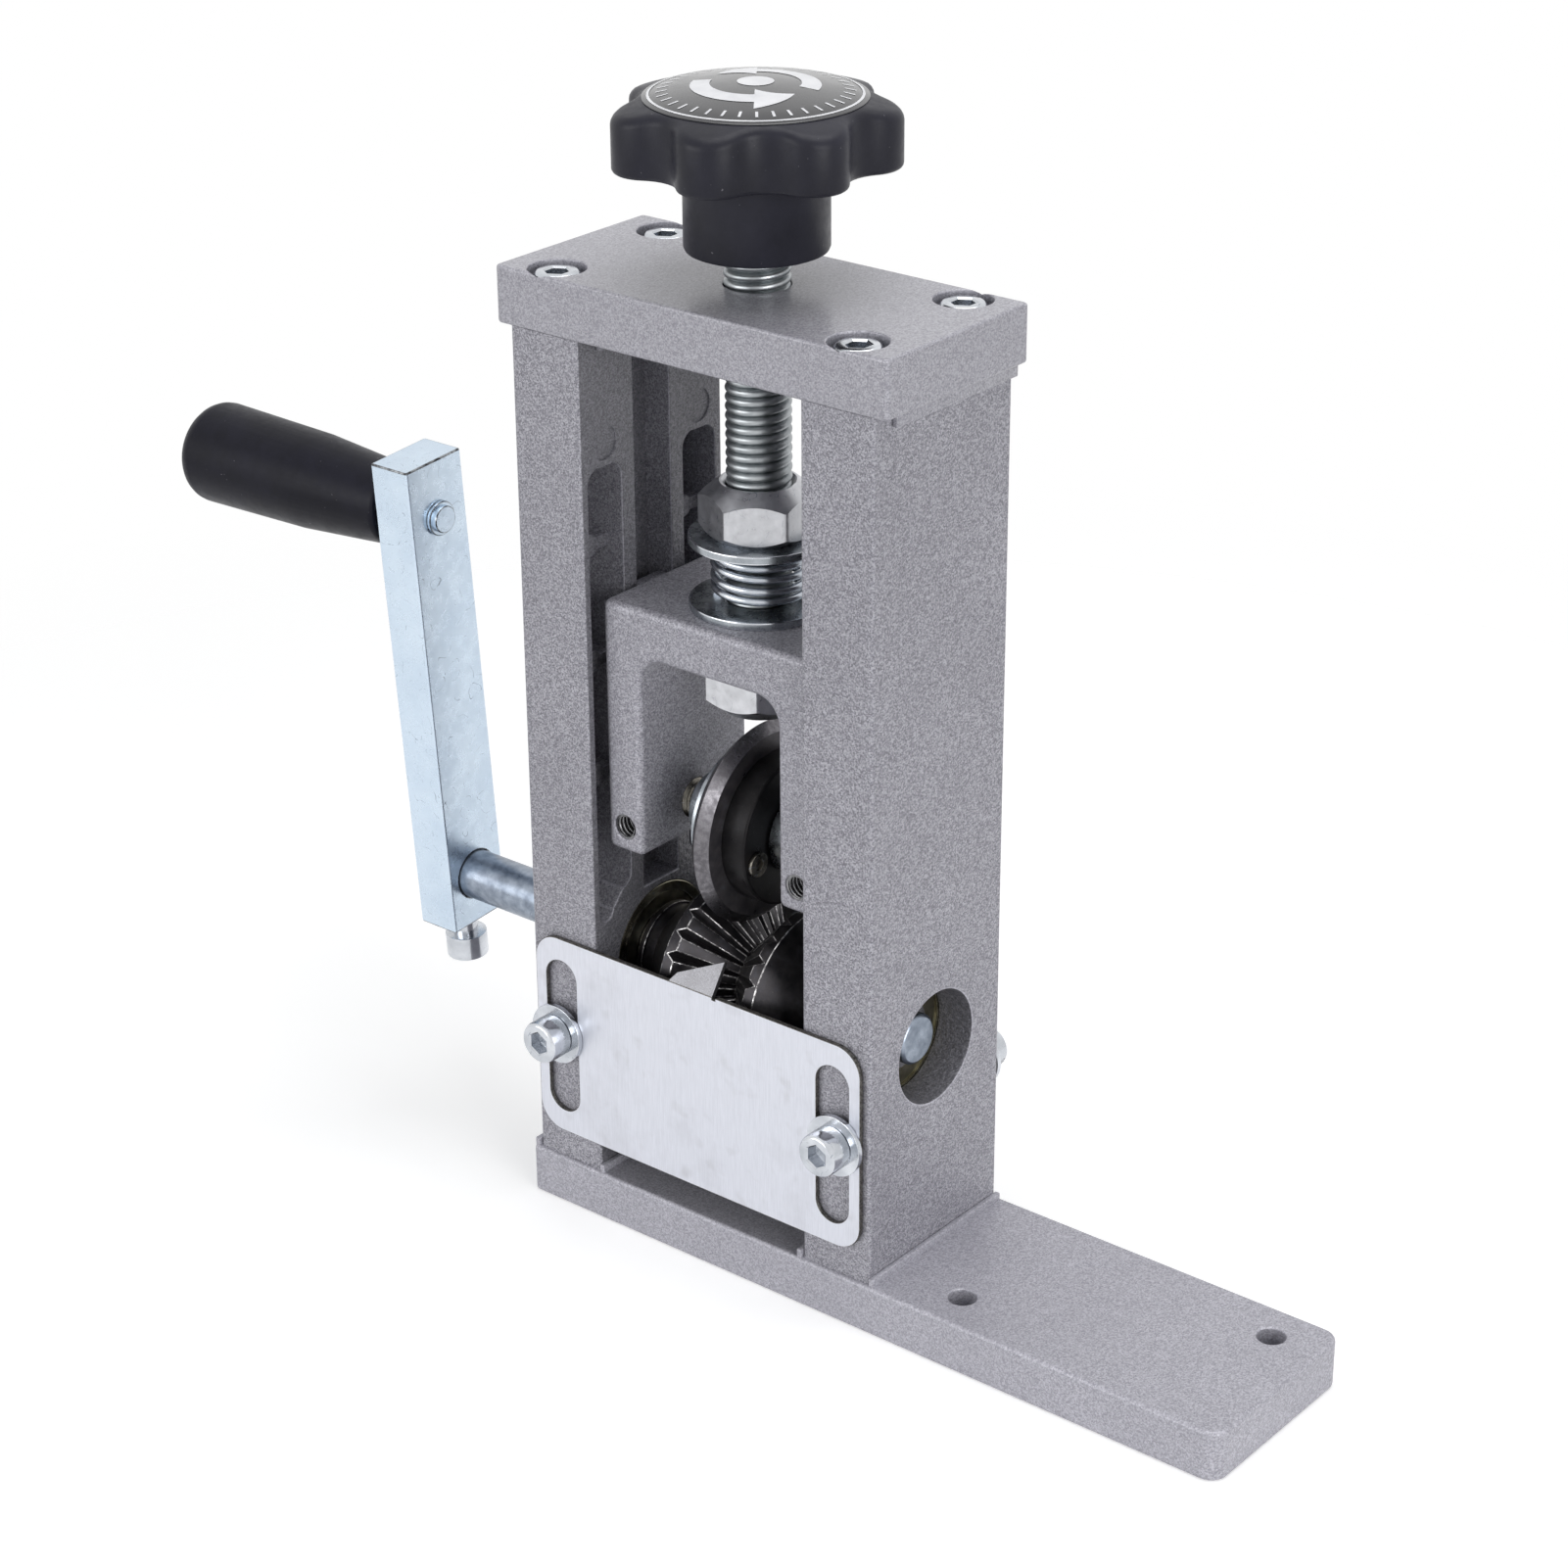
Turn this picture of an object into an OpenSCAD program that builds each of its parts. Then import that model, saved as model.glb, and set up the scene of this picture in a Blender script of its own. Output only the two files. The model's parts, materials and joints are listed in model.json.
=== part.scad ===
// Hand crank wire stripper: a two column tower on a long base, with a crank
// that turns a grooved feed roller, and a round blade on a sprung, screwed yoke.
// Lengths are millimetres. +X runs along the base, -Y is the front, +Z is up.
// The origin lies under the middle of the tower, on the underside of the base.

/* [Tower] */
// Width of the tower over both columns
tower_w = 82; // [80:1:96]
// Height of the top plate's upper face
tower_h = 190; // [188:1:230]
// Thickness of each column across the tower
column_t = 15.8; // [15:0.2:16.4]
// Depth of each column, front to back
column_d = 39.5; // [38:0.5:48]
// Radius of the columns' upright edges
column_edge_r = 0.8; // [0.4:0.1:1.5]
// How far the top plate reaches past each column
top_overhang = 3; // [2.5:0.5:10]
// Depth of the top plate
top_d = 40.2; // [39:0.2:48]
// Thickness of the top plate
top_t = 10.8; // [10:0.2:12]

/* [Base] */
// Length of the base
base_l = 160.4; // [150:0.2:220]
// Depth of the base, front to back
base_d = 41.2; // [39.6:0.2:48]
// Thickness of the base
base_t = 10.2; // [9.6:0.2:12]
// How far the base reaches past the column on the crank's side
base_overhang = 1.4; // [1.3:0.1:10]
// Radius of the corners at the base's free end
base_corner_r = 3.5; // [1:0.5:8]
// Radius of the corners at the base's other end
base_heel_r = 1; // [0.6:0.1:4]
// Radius of the two mounting holes
mount_hole_r = 2.7; // [2:0.1:3.5]
// Distance from the tower's outer face to the nearer mounting hole
mount_near_gap = 15.8; // [10:0.2:20]
// Distance from the base's end to the farther mounting hole
mount_far_gap = 9.9; // [8:0.1:20]
// How far each mounting hole lies off the middle line
mount_hole_y = 12.2; // [8:0.1:14]

/* [Column casting] */
// Width of the guide groove down each column
groove_w = 10; // [9:0.2:11]
// Depth of the guide groove
groove_depth = 6; // [5:0.5:8]
// Width of the cored pockets on both sides of the groove
pocket_w = 9.2; // [7:0.2:9.6]
// Depth of the cored pockets
pocket_depth = 9; // [5:0.5:10]
// Distance from the columns' top to the pockets
pocket_top_gap = 25; // [23:0.5:30]
// Radius of the ejector pin marks
ejector_r = 3.3; // [2:0.1:4]

/* [Drive] */
// Height of the crank shaft's axis
shaft_z = 52; // [50:0.5:56]
// Radius of the crank shaft
shaft_r = 5; // [4.6:0.1:5.4]
// Outer radius of the ball bearings
bearing_r = 13; // [12.6:0.1:13.4]
// Width of the ball bearings
bearing_w = 8; // [7.6:0.1:9]
// Width of the ring of bearing that the outer wall covers
lip_w = 1.9; // [1.6:0.1:3]
// How far the shaft ends inside the outer face of the far column
shaft_recess = 4; // [1:0.5:6]
// Gap between the near column and the crank arm
arm_gap = 34; // [25:1:50]

/* [Crank] */
// Length of the crank arm
arm_l = 101; // [95:1:120]
// Width of the crank arm
arm_w = 15; // [14:0.5:18]
// Thickness of the crank arm
arm_t = 9.5; // [8:0.5:12]
// Distance from the arm's lower end to the shaft's axis
arm_end = 10.6; // [10:0.2:13]
// Distance from the arm's upper end to the grip's pin
grip_pin_inset = 11.8; // [9:0.2:16]
// Lean of the arm towards the front, in degrees
arm_lean_deg = 4.2; // [0:0.2:10]
// Length of the grip
grip_l = 53; // [45:1:80]
// Radius of the grip at its far end
grip_far_r = 10.2; // [9.5:0.1:13]
// Radius of the grip beside the arm
grip_near_r = 7.9; // [7.4:0.1:9.4]

/* [Feed roller] */
// Outer radius of the toothed cones
cone_r = 18; // [17:0.2:18.4]
// Radius of the cones where they meet
cone_root_r = 8.6; // [8:0.2:9.5]
// Half the width of the groove between the two rims
groove_half_w = 8.8; // [8:0.2:9.4]
// Number of teeth on each cone
tooth_count = 24; // [18:1:30]
// Depth of the teeth at the rim
tooth_depth = 1.7; // [1:0.1:2]
// Radius of the cones' hubs
roller_hub_r = 9; // [8.6:0.1:10]

/* [Blade] */
// Gap between the blade's edge and the bottom of the roller's groove, at rest
blade_gap = 5.7; // [5.5:0.1:9]
// Radius of the blade's cutting edge
blade_r = 19.8; // [18:0.2:20]
// Thickness of the blade
blade_t = 4; // [3.6:0.2:5]
// Width of the ground bevel, measured along the radius
bevel_w = 1.9; // [1.6:0.1:3.2]
// Radius of the black boss that clamps the blade from its right side
boss_r = 14.4; // [14:0.1:14.6]
// Thickness of that boss
boss_t = 5.4; // [4:0.1:5.6]
// Radius of the collar between the boss and the right leg
collar_r = 7.7; // [7:0.1:8.2]
// Radius of the blade's axle
axle_r = 4; // [3.6:0.1:4.3]

/* [Yoke] */
// Height of the yoke's top face above the blade's axis
yoke_rise = 43.3; // [42.5:0.1:45]
// How far the yoke's feet reach below the blade's axis
yoke_foot_drop = 7; // [6.4:0.1:8]
// Thickness of the yoke's bridge
yoke_bar_t = 9.8; // [9:0.2:10]
// Depth of the yoke, front to back
yoke_d = 31; // [30:0.5:35]
// Thickness of the yoke's legs
yoke_leg_t = 8.6; // [8:0.2:9.2]
// Radius of the yoke's inner corners
yoke_inner_r = 5; // [2:0.5:6]

/* [Adjuster] */
// Radius of the adjusting screw
rod_r = 6; // [5.6:0.1:6.2]
// Pitch of the adjusting screw's thread
rod_pitch = 1.75; // [1.5:0.05:2]
// Width of the nuts over their flats
nut_af = 19.4; // [18:0.2:20]
// Height of the nuts
nut_h = 10; // [9:0.5:10.5]
// Outer radius of the two spring washers
washer_r = 13; // [12.6:0.2:14]
// Thickness of the two spring washers
washer_t = 1.6; // [1.2:0.1:2]
// Height of the adjusting spring at rest
spring_h = 11; // [10.8:0.1:12]
// Radius of the spring's wire
spring_wire_r = 0.75; // [0.65:0.01:0.76]
// Outer radius of the spring
spring_r = 9; // [8.8:0.1:10]
// Gap between the knob's hub and the top plate
knob_gap = 6.2; // [5.8:0.1:9]

/* [Knob] */
// Outer radius of the knob over its lobes
knob_r = 25.6; // [24:0.2:30]
// Radius of the knob in the valleys between its lobes
knob_valley_r = 20.8; // [20:0.1:21.5]
// Radius of each lobe's round tip
knob_lobe_r = 6.4; // [5.5:0.1:6.8]
// Number of lobes on the knob
knob_lobes = 7; // [6:1:8]
// Height of the knob's hub
knob_hub_h = 15.2; // [12:0.2:20]
// Radius of the knob's hub
knob_hub_r = 12.9; // [11:0.1:14]
// Height of the knob's lobes
knob_lobe_h = 9.9; // [8:0.1:14]
// Rise of the knob's domed top above its lobes
knob_dome_h = 4.2; // [3:0.2:6]
// Turn of the knob at rest, in degrees
knob_turn_deg = 30; // [0:1:51]
// Radius of the round label on the knob
label_r = 19.6; // [15:0.2:20]

/* [Guide plates] */
// Length of the guide plates
guide_l = 79; // [77:0.2:81]
// Height of the guide plates
guide_h = 42.2; // [40:0.1:43]
// Thickness of the guide plates
guide_t = 1; // [0.8:0.1:1.2]
// Distance from the guide plates' screws down to their lower edge
guide_drop = 21.7; // [20:0.1:23]
// Radius of the guide plates' corners
guide_corner_r = 5.5; // [3:0.5:6]
// Width of the slots in the guide plates
slot_w = 7.6; // [7.2:0.1:8]
// Length of the slots in the guide plates
slot_l = 32.8; // [30:0.1:33]
// Radius of the guide plates' washers
guide_washer_r = 6.1; // [5.6:0.1:6.4]

/* [Screws] */
// Radius of the socket screws' threads
screw_r = 2.5; // [2:0.1:2.6]
// Radius of the socket screws' heads
screw_head_r = 4.25; // [4:0.05:4.4]
// Height of the socket screws' heads
screw_head_h = 5; // [4:0.2:5.4]
// Width of the sockets over their flats
socket_af = 4; // [3:0.1:4.4]

/* [Hidden] */

// Overrun of every cut past the face that it opens
over = 1;
// Clearance of a shaft that turns in its bore, and of a thread in its hole
run_c = 0.04;
// Clearance of a piece that is pressed or clamped home
seat_c = 0.01;
// Gap that keeps moving faces apart
face_gap = 0.3;
// Gap between two faces that rest on each other
rest_gap = 0.02;
// Numbers of sides of large and of small round shapes
round_fn = 96;
small_fn = 48;
quarter_turn_deg = 90;
full_turn_deg = 360;
hex_sides = 6;

// Colours
paint = [0.60, 0.59, 0.62];
zinc = [0.76, 0.82, 0.86];
bare_steel = [0.82, 0.83, 0.84];
black_steel = [0.16, 0.16, 0.17];
black_plastic = [0.10, 0.10, 0.11];

// Tower
inner_x = tower_w/2 - column_t;
outer_x = tower_w/2;
column_mid_x = inner_x + column_t/2;
column_top_z = tower_h - top_t;
column_h = column_top_z - base_t;
base_left_x = -outer_x - base_overhang;
base_right_x = base_left_x + base_l;
mount_near_x = outer_x + mount_near_gap;
mount_far_x = base_right_x - mount_far_gap;
top_corner_r = 1;

// Screws that hold the columns between the base and the top plate
tower_screw_out = 0.7;
tower_screw_inset = 5;
tower_screw_grip = 15;
tower_screw_x = column_mid_x + tower_screw_out;
tower_screw_y = column_d/2 - tower_screw_inset;
counterbore_c = 1.1;
counterbore_r = screw_head_r + counterbore_c;
screw_sink = 0.5;
screw_seat_t = top_t - screw_head_h - screw_sink;
base_seat_t = base_t - screw_head_h - screw_sink;
socket_depth = screw_head_h/2;

// Cast ribs that locate the columns' ends
rib_gap = 0.05;
rib_w = 1.1;
rib_h = 1.6;
rib_inset = 0.4;
top_rib_h = 2.8;
top_rib_inset = 5;

// Ball bearings, set flush in the columns' inner faces
race_t = 2.1;
outer_race_r = bearing_r - race_t;
inner_race_r = shaft_r + race_t;
ball_r = 2.35;
ball_c = 0.05;
ball_count = 7;
ball_pitch_r = (bearing_r + shaft_r)/2;
bearing_mid_x = inner_x + bearing_w/2;
shield_t = 0.4;
shield_sink = 0.5;
cage_t = 0.9;
cage_w = 5.8;
lip_r = bearing_r - lip_w;

// Column casting
column_skin = 2;
boss_wall = 1.5;
groove_floor_z = shaft_z + bearing_r + boss_wall;
pocket_top_z = column_top_z - pocket_top_gap;
pocket_out_y = column_d/2 - column_skin;
pocket_in_y = pocket_out_y - pocket_w;
pocket_corner_r = 3;
pocket_taper_rise = 3.4;
pocket_taper_z = shaft_z + bearing_r + pocket_taper_rise;
pocket_foot_r = 1.8;
pocket_foot_z = shaft_z + bearing_r;
cross_rib_count = 3;
cross_rib_t = 2.4;
cross_rib_sink = 4;
cross_rib_drop = 16.5;
cross_rib_boss_r = 2.2;
cross_rib_step = (pocket_top_z - cross_rib_drop - pocket_taper_z)/cross_rib_count;
ejector_inset = 6.7;
ejector_rise = 4.4;
ejector_sink = 0.3;

// Drive shaft and feed roller
shaft_left_x = -(outer_x + arm_gap + arm_t);
shaft_right_x = outer_x - shaft_recess;
shaft_chamfer = 0.6;
spacer_wall = 1.7;
spacer_l = 1.5;
roller_end_x = inner_x - spacer_l;
roller_meet_gap = 0.1;
rim_w = 2.4;
back_cone_x = groove_half_w + rim_w + cone_r - roller_hub_r;
hub_step_rise = 0.5;
hub_step_w = 1.2;
hub_step_x = roller_end_x - hub_step_w;
tooth_root_share = 0.45;
tooth_gap_share = 0.62;
set_screw_r = 2;
set_screw_l = 3.2;
set_screw_af = 2;
set_screw_socket = 1.4;
set_screw_x = (back_cone_x + hub_step_x)/2;

// Crank arm, its clamp screw and the grip's pin
arm_x = outer_x + arm_gap;
crank_throw = arm_l - arm_end - grip_pin_inset;
arm_edge_r = 0.5;
clamp_screw_show = 4.2;
pin_r = 4;
pin_tail_r = 2.7;
pin_upset_r = 3.45;
pin_upset_t = 0.9;
pin_end_t = 0.9;
pin_collar_r = 6.4;
pin_collar_t = 0.8;
pin_head_r = 5.4;
pin_head_t = 1.6;
grip_cap_t = 8;
grip_edge_r = 4;
grip_waist_share = 0.42;
grip_swell_share = 0.75;
grip_arc_steps = 6;
grip_start_x = arm_x + arm_t + pin_collar_t + face_gap;
grip_end_x = grip_start_x + grip_l;
pin_head_x = grip_end_x - grip_cap_t - face_gap;

// Blade, its hub, its screws and its axle
blade_z = shaft_z + cone_root_r + blade_gap + blade_r;
hub_flange_r = 13.2;
hub_flange_t = 4.4;
hub_sleeve_wall = 2.6;
hub_sleeve_r = axle_r + hub_sleeve_wall;
hub_left_x = -(blade_t/2 + hub_flange_t);
hub_right_x = blade_t/2 + boss_t;
boss_edge_c = 0.4;
blade_screw_pitch_r = 11.2;
blade_screw_r = 1.5;
blade_screw_head_r = 2.4;
blade_screw_head_h = 0.9;
blade_screw_af = 2;
blade_screw_count = 3;
blade_screw_turn_deg = 194;
axle_spacer_wall = 2.4;
axle_thread_l = 3.6;
axle_thread_depth = 0.5;
axle_thread_count = 3;

// Yoke
yoke_top_z = blade_z + yoke_rise;
yoke_foot_z = blade_z - yoke_foot_drop;
yoke_h = yoke_top_z - yoke_foot_z;
yoke_bar_z = yoke_top_z - yoke_bar_t;
yoke_side_gap = 0.4;
yoke_half_w = inner_x - yoke_side_gap;
yoke_gap_half = yoke_half_w - yoke_leg_t;
yoke_edge_r = 1.6;
tongue_side_gap = 0.3;
tongue_w = groove_w - 2*tongue_side_gap;
tongue_reach = 3.6;
rod_hole_c = 0.3;
axle_end_gap = 0.6;
axle_half_l = yoke_half_w - axle_end_gap;
yoke_screw_x = yoke_half_w - yoke_leg_t/2;
yoke_screw_drop = 1.8;
yoke_screw_z = blade_z - yoke_screw_drop;
yoke_screw_l = 5;
yoke_screw_af = 2.5;
yoke_screw_socket = 2;

// Adjusting screw with its nuts, washers and spring
washer_low_z = yoke_top_z + rest_gap;
spring_low_z = washer_low_z + washer_t;
spring_high_z = spring_low_z + spring_h;
upper_nut_z = spring_high_z + washer_t + rest_gap;
lower_nut_z = yoke_bar_z - rest_gap - nut_h;
nut_chamfer = 1.1;
nut_turn_deg = 35;
lower_nut_turn_deg = 5;
knob_z = tower_h + knob_gap;
rod_in_knob = 12;
thread_depth = 0.85;
rod_turns = floor((knob_z + rod_in_knob - lower_nut_z)/rod_pitch);
spring_coil_gap = 0.45;
spring_end_gap = 0.05;
spring_low_turns = 2.4;
spring_open_turns = 0.4;
spring_high_turns = 1.75;
spring_start_turn = 0.56;
spring_ring_count = 12;
spring_side_count = 6;
spring_coil_r = spring_r - spring_wire_r;
spring_climb = spring_h - 2*spring_wire_r - 2*spring_end_gap;
spring_closed_pitch = 2*spring_wire_r + spring_coil_gap;
spring_open_climb = spring_climb - (spring_low_turns + spring_high_turns)*spring_closed_pitch;
spring_turns = spring_low_turns + spring_open_turns + spring_high_turns;

// Knob
knob_lobe_z = knob_z + knob_hub_h;
knob_top_z = knob_lobe_z + knob_lobe_h + knob_dome_h;
knob_hub_edge = 0.8;
dome_sphere_r = (knob_r*knob_r + knob_dome_h*knob_dome_h)/(2*knob_dome_h);
lobe_centre_r = knob_r - knob_lobe_r;
half_lobe_deg = full_turn_deg/knob_lobes/2;
lobe_mid = [lobe_centre_r*cos(half_lobe_deg), lobe_centre_r*sin(half_lobe_deg)];
valley_fall = knob_valley_r - lobe_mid[0];
valley_arc_r = (valley_fall*valley_fall + lobe_mid[1]*lobe_mid[1] - knob_lobe_r*knob_lobe_r)
    /(2*(knob_lobe_r - valley_fall));
valley_centre_r = knob_valley_r + valley_arc_r;
lobe_to_valley = [valley_centre_r - lobe_mid[0], -lobe_mid[1]];
tangent_share = knob_lobe_r/norm(lobe_to_valley);
star_core_r = norm(lobe_mid + tangent_share*lobe_to_valley);
label_t = 0.25;

// Guide plates, held by screws and washers on the columns' front and back
guide_screw_sink = 0.6;
guide_screw_out = 1;
guide_screw_x = column_mid_x + guide_screw_out;
guide_screw_z = shaft_z - bearing_r - guide_screw_sink;
guide_z = guide_screw_z - guide_drop;
guide_stand_off = 0.12;
guide_back_y = column_d/2 + guide_stand_off;
guide_washer_t = 1.1;
guide_washer_y = guide_back_y + guide_t + rest_gap;
guide_head_y = guide_washer_y + guide_washer_t + rest_gap;
guide_washer_c = 0.2;
guide_screw_l = 12;
guide_hole_end = 0.8;
guide_hole_depth = guide_screw_l - (guide_head_y - column_d/2) + guide_hole_end;
slot_low_gap = 4.7;
tab_left_x = 6;
tab_shoulder_x = 4.7;
tab_right_x = 4.7;
tab_short_side = 2.1;
tab_long_side = 7;
tab_lean_deg = 34;
tab_relief_w = 0.8;
tab_relief_h = 0.5;

// A rectangle with round corners, centred
module rounded_rect(l, w, r) {
    square([l - 2*r, w], center = true);
    square([l, w - 2*r], center = true);
    for (side_x = [-1, 1], side_y = [-1, 1])
        translate([side_x*(l/2 - r), side_y*(w/2 - r)]) circle(r = r, $fn = small_fn);
}

// A bar of rounded rectangle section that stands on z
module slab(l, w, h, r) {
    linear_extrude(height = h) rounded_rect(l, w, r);
}

// Lays a shape that stands on z along +X
module along_x(x) {
    translate([x, 0, 0]) rotate([0, quarter_turn_deg, 0]) children();
}

// Lays a shape that stands on z along +Y
module along_y(y) {
    translate([0, y, 0]) rotate([-quarter_turn_deg, 0, 0]) children();
}

// Stands an extruded outline up, so that it faces +X and grows towards +X
module facing_x(x) {
    translate([x, 0, 0]) rotate([quarter_turn_deg, 0, quarter_turn_deg]) children();
}

// Stands an extruded outline up, so that it faces -Y and grows towards -Y
module facing_front(y) {
    translate([0, y, 0]) rotate([quarter_turn_deg, 0, 0]) children();
}

module other_side() {
    mirror([1, 0, 0]) children();
}

module turned_about() {
    rotate([0, 0, full_turn_deg/2]) children();
}

module tube(r_out, r_in, h) {
    difference() {
        cylinder(r = r_out, h = h, $fn = round_fn);
        translate([0, 0, -over]) cylinder(r = r_in, h = h + 2*over, $fn = round_fn);
    }
}

module hexagon(af, h) {
    cylinder(r = af/2/cos(full_turn_deg/hex_sides/2), h = h, $fn = hex_sides);
}

// A socket screw whose head ends at z = 0 and whose thread points down
module socket_screw(thread_l) {
    difference() {
        union() {
            translate([0, 0, -screw_head_h])
                cylinder(r = screw_head_r, h = screw_head_h, $fn = small_fn);
            translate([0, 0, -screw_head_h - thread_l])
                cylinder(r = screw_r, h = thread_l, $fn = small_fn);
        }
        translate([0, 0, -socket_depth]) hexagon(socket_af, socket_depth + over);
    }
}

// A headless screw whose socket opens at z = 0 and whose tip points down
module grub_screw(r, l, af, socket) {
    difference() {
        translate([0, 0, -l]) cylinder(r = r, h = l, $fn = small_fn);
        translate([0, 0, -socket]) hexagon(af, socket + over);
    }
}

module tower_screw_places() {
    for (side_x = [-1, 1], side_y = [-1, 1])
        translate([side_x*tower_screw_x, side_y*tower_screw_y, 0]) children();
}

// A cast rib beside a column's end, with its face towards +X
module locating_rib(z, h, front_y) {
    translate([0, front_y, z]) cube([rib_w, column_d/2 - front_y, h]);
}

// The four ribs that stand on both sides of the two columns' ends
module locating_ribs(z, h, front_y) {
    for (x = [inner_x - rib_gap - rib_w, outer_x + rib_gap]) {
        translate([x, 0, 0]) locating_rib(z, h, front_y);
        other_side() translate([x, 0, 0]) locating_rib(z, h, front_y);
    }
}

module base_plate() {
    color(paint) {
        difference() {
            union() {
                translate([(base_left_x + base_right_x)/2, 0, 0])
                    slab(base_l, base_d, base_t, base_corner_r);
                translate([base_left_x/2, 0, 0])
                    slab(-base_left_x, base_d, base_t, base_heel_r);
            }
            tower_screw_places() {
                translate([0, 0, -over])
                    cylinder(r = screw_r + run_c, h = base_t + 2*over, $fn = small_fn);
                translate([0, 0, -over])
                    cylinder(r = counterbore_r, h = base_t - base_seat_t + over, $fn = small_fn);
            }
            translate([mount_near_x, -mount_hole_y, -over])
                cylinder(r = mount_hole_r, h = base_t + 2*over, $fn = small_fn);
            translate([mount_far_x, mount_hole_y, -over])
                cylinder(r = mount_hole_r, h = base_t + 2*over, $fn = small_fn);
        }
        locating_ribs(base_t - rest_gap, rib_h + rest_gap, -base_d/2 + rib_inset);
    }
}

module top_plate() {
    color(paint) {
        difference() {
            translate([0, 0, column_top_z]) slab(tower_w + 2*top_overhang, top_d, top_t, top_corner_r);
            translate([0, 0, column_top_z - over])
                cylinder(r = rod_r + run_c, h = top_t + 2*over, $fn = round_fn);
            tower_screw_places() {
                translate([0, 0, column_top_z - over])
                    cylinder(r = screw_r + run_c, h = top_t + 2*over, $fn = small_fn);
                translate([0, 0, column_top_z + screw_seat_t])
                    cylinder(r = counterbore_r, h = top_t, $fn = small_fn);
            }
        }
        locating_ribs(column_top_z - top_rib_h, top_rib_h + rest_gap, -column_d/2 + top_rib_inset);
    }
}

// The outline of one cored pocket, drawn with y across and z up
module pocket_outline() {
    translate([(pocket_in_y + pocket_out_y)/2, (pocket_top_z + pocket_taper_z)/2])
        rounded_rect(pocket_w, pocket_top_z - pocket_taper_z, pocket_corner_r);
    polygon([
        [pocket_in_y, pocket_taper_z + pocket_corner_r],
        [pocket_out_y, pocket_taper_z + pocket_corner_r],
        [pocket_out_y, pocket_foot_z],
        [pocket_out_y - 2*pocket_foot_r, pocket_foot_z]
    ]);
    translate([pocket_out_y - pocket_foot_r, pocket_foot_z])
        circle(r = pocket_foot_r, $fn = small_fn);
}

// Ribs across one pocket
module cross_ribs() {
    for (i = [0:cross_rib_count - 1])
        translate([0, pocket_in_y, pocket_top_z - cross_rib_drop - i*cross_rib_step]) {
            translate([inner_x + cross_rib_sink, -rest_gap, -cross_rib_t/2])
                cube([pocket_depth - cross_rib_sink + rest_gap, pocket_w + 2*rest_gap, cross_rib_t]);
            translate([0, pocket_w/2, 0]) along_x(inner_x + cross_rib_sink)
                cylinder(r = cross_rib_boss_r, h = pocket_depth - cross_rib_sink + rest_gap,
                         $fn = small_fn);
        }
}

module column() {
    color(paint) {
        difference() {
            translate([column_mid_x, 0, base_t])
                slab(column_t, column_d, column_h, column_edge_r);
            translate([inner_x - over, -groove_w/2, groove_floor_z])
                cube([groove_depth + over, groove_w, column_h]);
            for (side_y = [-1, 1]) scale([1, side_y, 1]) {
                facing_x(inner_x - over) linear_extrude(height = pocket_depth + over)
                    pocket_outline();
                translate([0, column_d/2 - ejector_inset, pocket_top_z + ejector_rise])
                    along_x(inner_x - over)
                    cylinder(r = ejector_r, h = ejector_sink + over, $fn = small_fn);
                translate([guide_screw_x, 0, guide_screw_z])
                    along_y(column_d/2 - guide_hole_depth)
                    cylinder(r = screw_r + run_c, h = guide_hole_depth + over, $fn = small_fn);
            }
            translate([0, 0, shaft_z]) {
                along_x(inner_x - over)
                    cylinder(r = bearing_r, h = bearing_w + over, $fn = round_fn);
                along_x(inner_x)
                    cylinder(r = lip_r, h = column_t + over, $fn = round_fn);
            }
            tower_screw_places() {
                translate([0, 0, column_top_z - tower_screw_grip - over])
                    cylinder(r = screw_r + run_c, h = column_h, $fn = small_fn);
                translate([0, 0, base_t - over])
                    cylinder(r = screw_r + run_c, h = tower_screw_grip + 2*over, $fn = small_fn);
            }
        }
        for (side_y = [-1, 1]) scale([1, side_y, 1]) cross_ribs();
    }
}

module right_column() {
    column();
}

module left_column() {
    other_side() column();
}

module top_plate_screws() {
    color(zinc) tower_screw_places()
        translate([0, 0, tower_h - screw_sink]) socket_screw(screw_seat_t + tower_screw_grip);
}

module base_screws() {
    color(zinc) tower_screw_places() mirror([0, 0, 1])
        translate([0, 0, -screw_sink]) socket_screw(base_seat_t + tower_screw_grip);
}

// The ring of space that the balls run in, about the shaft's axis
module ball_track() {
    along_x(bearing_mid_x) rotate_extrude($fn = round_fn)
        translate([ball_pitch_r, 0]) circle(r = ball_r + ball_c, $fn = small_fn);
}

module outer_race() {
    color(bare_steel) translate([0, 0, shaft_z]) difference() {
        along_x(inner_x) tube(bearing_r - seat_c, outer_race_r, bearing_w);
        ball_track();
    }
}

module inner_race() {
    color(bare_steel) translate([0, 0, shaft_z]) difference() {
        along_x(inner_x) tube(inner_race_r, shaft_r + seat_c, bearing_w);
        ball_track();
    }
}

module shields() {
    color(bare_steel) translate([0, 0, shaft_z])
        for (x = [inner_x + shield_sink, inner_x + bearing_w - shield_sink - shield_t])
            along_x(x) tube(outer_race_r - seat_c, inner_race_r + face_gap, shield_t);
}

module bearing_balls(r) {
    translate([bearing_mid_x, 0, shaft_z])
        for (i = [0:ball_count - 1]) rotate([i*full_turn_deg/ball_count, 0, 0])
            translate([0, 0, ball_pitch_r]) sphere(r = r, $fn = small_fn);
}

module cage() {
    color(bare_steel) difference() {
        translate([0, 0, shaft_z]) along_x(bearing_mid_x - cage_w/2)
            tube(ball_pitch_r + cage_t/2, ball_pitch_r - cage_t/2, cage_w);
        bearing_balls(ball_r + ball_c);
    }
}

module left_bearing_outer_race() {
    other_side() outer_race();
}

module right_bearing_outer_race() {
    outer_race();
}

module left_bearing_inner_race() {
    other_side() inner_race();
}

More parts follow.
